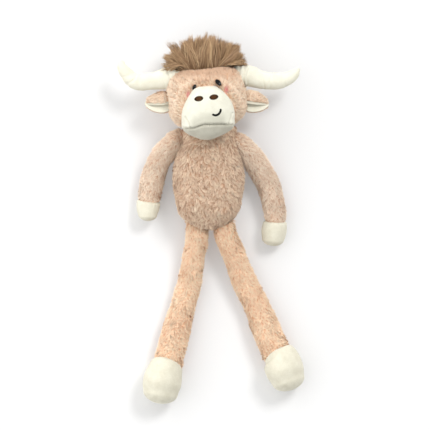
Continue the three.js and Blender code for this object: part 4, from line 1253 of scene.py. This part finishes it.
def hair_curves(rng):
    """Places along each hair of the fan, and the tuft that each belongs to."""
    fan = rng.permutation(np.linspace(*HAIR_FAN, HAIR_TUFTS)) + rng.normal(0, 0.03, HAIR_TUFTS)
    row = rng.uniform(-1, 1, HAIR_TUFTS)
    layer = np.where(rng.random(HAIR_TUFTS) < 0.4, rng.uniform(0.93, 1.0, HAIR_TUFTS),
                     rng.uniform(0.5, 0.95, HAIR_TUFTS))
    tuft = np.repeat(np.arange(HAIR_TUFTS), HAIRS_PER_TUFT)
    count = len(tuft)
    across = np.clip(0.92 * np.sin(fan[tuft]) + rng.normal(0, 0.13, count), -1, 1)
    depth = np.clip(row[tuft] + rng.normal(0, 0.12, count), -1, 1)
    roots = crown_points(CROWN_X + CROWN_HALF_WIDTH * across,
                         CROWN_Z + CROWN_HALF_DEPTH * depth * np.sqrt(1 - 0.6 * across**2))
    angle = fan[tuft] + rng.normal(0, 0.05, count)
    size = layer[tuft] * rng.uniform(0.86, 1.04, count) * (1 + HAIR_FULLNESS * np.sin(2 * angle) ** 2)
    reach = np.where(angle < 0, HAIR_LEFT_REACH, HAIR_RIGHT_REACH)
    lean = row[tuft] * HAIR_LEAN + rng.normal(0, 0.05, count)
    tips = np.stack([HAIR_MIDDLE[0] + np.sin(angle) * reach * size,
                     HAIR_MIDDLE[1] + np.cos(angle) * HAIR_RISE * size,
                     HAIR_Z + np.sin(lean) * HAIR_SPREAD * (0.55 + 0.45 * size)], -1)
    first = np.arange(HAIR_TUFTS) * HAIRS_PER_TUFT
    tips += HAIR_GATHER * (tips[first][tuft] - tips)
    rise = unit(np.stack([np.sin(angle) * 0.5, np.ones(count), depth * 1.1], -1))
    length = np.linalg.norm(tips - roots, axis=1)
    controls = roots + rise * (length * 0.45)[:, None]
    share = np.linspace(0, 1, HAIR_STEPS)[None, :, None]
    curve = ((1 - share) ** 2 * roots[:, None] + 2 * share * (1 - share) * controls[:, None]
             + share**2 * tips[:, None])
    curl = rng.normal(0, HAIR_CURL, (HAIR_TUFTS, 3))[tuft][:, None] * share**2
    wave = np.stack([HAIR_WAVE * wave_noise(curve, 13, 80 + k) for k in range(3)], -1) * share
    stray = rng.normal(0, HAIR_STRAY, (count, HAIR_STEPS, 3)) * share
    return curve + curl + wave + stray, tuft


def make_hair():
    rng = np.random.default_rng(8)
    curve, tuft = hair_curves(rng)
    count = len(tuft)
    course = unit(np.gradient(curve, axis=1))
    outwards = unit((curve - (CROWN_X, HAIR_MIDDLE[1] - 10, HAIR_Z - 25)) * (0.7, 0.5, 1.0))
    side = unit(np.cross(course, outwards))
    over = np.cross(side, course)
    lit = unit(0.8 * outwards + 0.5 * over + 0.22 * rng.normal(0, 1, (HAIR_TUFTS, 3))[tuft][:, None])
    width = HAIR_WIDTH / 2 * np.linspace(1.0, 0.75, HAIR_STEPS - 1)
    rings = [curve[:, :-1] + (side * a + over * b)[:, :-1] * width[None, :, None]
             for a, b in HAIR_SECTION]
    corners = np.stack(rings, 2).reshape(count, -1, 3)
    points = np.concatenate([corners, curve[:, -1:]], 1)
    lit = np.concatenate([np.repeat(lit[:, :-1], 3, axis=1), lit[:, -1:]], 1)
    size = points.shape[1]
    start = np.arange(count)[:, None, None] * size
    quads = start + grid_faces(HAIR_STEPS - 1, 3)[None]
    last = size - 4  # the first corner before the tip
    ends = start + np.array([(last + k, last + (k + 1) % 3, size - 1) for k in range(3)])
    mound = plush_skin(mound_grid())
    mesh = make_mesh("hair", np.vstack([points.reshape(-1, 3), mound.points]),
                     [quads.reshape(-1, 4), ends.reshape(-1, 3), mound.triangles + count * size],
                     np.vstack([lit.reshape(-1, 3), mound.normals]))
    tip = np.tile([*np.repeat(np.linspace(0, 0.8, HAIR_STEPS - 1), 3), 1], count)
    shade = 0.5 * rng.normal(0, 1, HAIR_TUFTS)[tuft] + 0.9 * rng.normal(0, 1, count)
    # The root mound takes the darkest root colour, a painted shade under the hair.
    rooted = len(mound.points)
    set_values(mesh, "tip", np.concatenate([tip, np.zeros(rooted)]))
    set_values(mesh, "shade", np.concatenate([np.repeat(shade, size), np.full(rooted, -1.0)]))
    add_piece("hair", mesh, "head", hair_pile, ("hair_tuft", "crown_patch"))


def mound_grid(rings=24, sides=40):
    """The dense roots of the hair over the crown."""
    angle = np.linspace(0.08, math.pi - 0.08, rings)[:, None]
    around = circle(sides)[None, :]
    x = CROWN_X + np.sin(angle) * np.cos(around) * CROWN_HALF_WIDTH
    z = CROWN_Z + np.sin(angle) * np.sin(around) * CROWN_HALF_DEPTH
    top = crown_points(x, z)
    top[..., 1] += MOUND_RISE * np.cos(angle) - MOUND_SINK
    return top


# Floor, light and camera

def make_floor():
    corners = np.array([(-1, -1, 0), (1, -1, 0), (1, 1, 0), (-1, 1, 0)]) * FLOOR_HALF
    mesh = make_mesh("floor", corners, [np.array([(0, 1, 2, 3)])])
    material, tree, shader = new_material(
        "floor", {"Roughness": 1, "Specular IOR Level": 0, "Emission Color": (1, 1, 1, 1)})
    seen = tree.nodes.new("ShaderNodeLightPath").outputs["Is Camera Ray"]
    base = mix_node(tree, seen, (*[FLOOR_GREY] * 3, 1), (*[FLOOR_SEEN_GREY] * 3, 1))
    glow = range_node(tree, seen, 0, 1, 0, FLOOR_SEEN_GLOW)
    tree.links.new(glow, shader.inputs["Emission Strength"])
    mesh.materials.append(painted(material, base))
    add_object("floor", mesh)


def make_light():
    world = bpy.data.worlds.new("studio")
    bpy.context.scene.world = world
    world.use_nodes = True
    nodes, links = world.node_tree.nodes, world.node_tree.links
    backdrop, light = nodes["Background"], nodes.new("ShaderNodeBackground")
    backdrop.inputs["Color"].default_value = (1, 1, 1, 1)
    facing = nodes.new("ShaderNodeVectorMath")
    facing.operation = "DOT_PRODUCT"
    facing.inputs[1].default_value = SKY_BRIGHT_SIDE
    links.new(nodes.new("ShaderNodeTexCoord").outputs["Generated"], facing.inputs[0])
    sky = range_node(world.node_tree, facing.outputs["Value"], -1, 1, *SKY_STRENGTH)
    rays = nodes.new("ShaderNodeLightPath")
    grey = range_node(world.node_tree, rays.outputs["Is Glossy Ray"], 0, 1, 1, SKY_IN_GLOSS)
    links.new(sky, light.inputs["Strength"])
    links.new(grey, light.inputs["Color"])
    mix = nodes.new("ShaderNodeMixShader")
    links.new(rays.outputs["Is Camera Ray"], mix.inputs["Fac"])
    links.new(light.outputs["Background"], mix.inputs[1])
    links.new(backdrop.outputs["Background"], mix.inputs[2])
    links.new(mix.outputs["Shader"], nodes["World Output"].inputs["Surface"])
    for lamp in LAMPS:
        sun = bpy.data.lights.new(lamp.name, "SUN")
        sun.energy = lamp.strength
        sun.angle = math.radians(lamp.width_deg)
        turn = Vector(lamp.towards).to_track_quat("Z", "Y").to_euler()
        add_object(lamp.name, sun).rotation_euler = turn


def make_camera():
    data = bpy.data.cameras.new("camera")
    data.sensor_fit = "HORIZONTAL"
    data.sensor_width = SENSOR_WIDTH
    data.lens = SENSOR_WIDTH * (CAMERA_HEIGHT - PICTURE_LEVEL) / PICTURE_WIDTH
    camera = add_object("camera", data)
    camera.location = Vector((*PICTURE_MIDDLE, CAMERA_HEIGHT)) * MM
    bpy.context.scene.camera = camera


make_camera()
make_light()
make_floor()
make_torso()
for arm in ARMS:
    make_arm(arm)
for leg in LEGS:
    make_leg(leg)
make_head()
muzzle_surface = make_muzzle()
for side, centre in zip(("left", "right"), NOSTRILS):
    make_nostril(muzzle_surface, side, centre)
make_smile(muzzle_surface)
for eye in EYES:
    make_eye(eye)
for horn in HORNS:
    make_horn(horn)
for ear in EARS:
    make_ear(ear)
make_hair()

bpy.context.scene.view_settings.view_transform = "Standard"
bpy.context.view_layer.update()
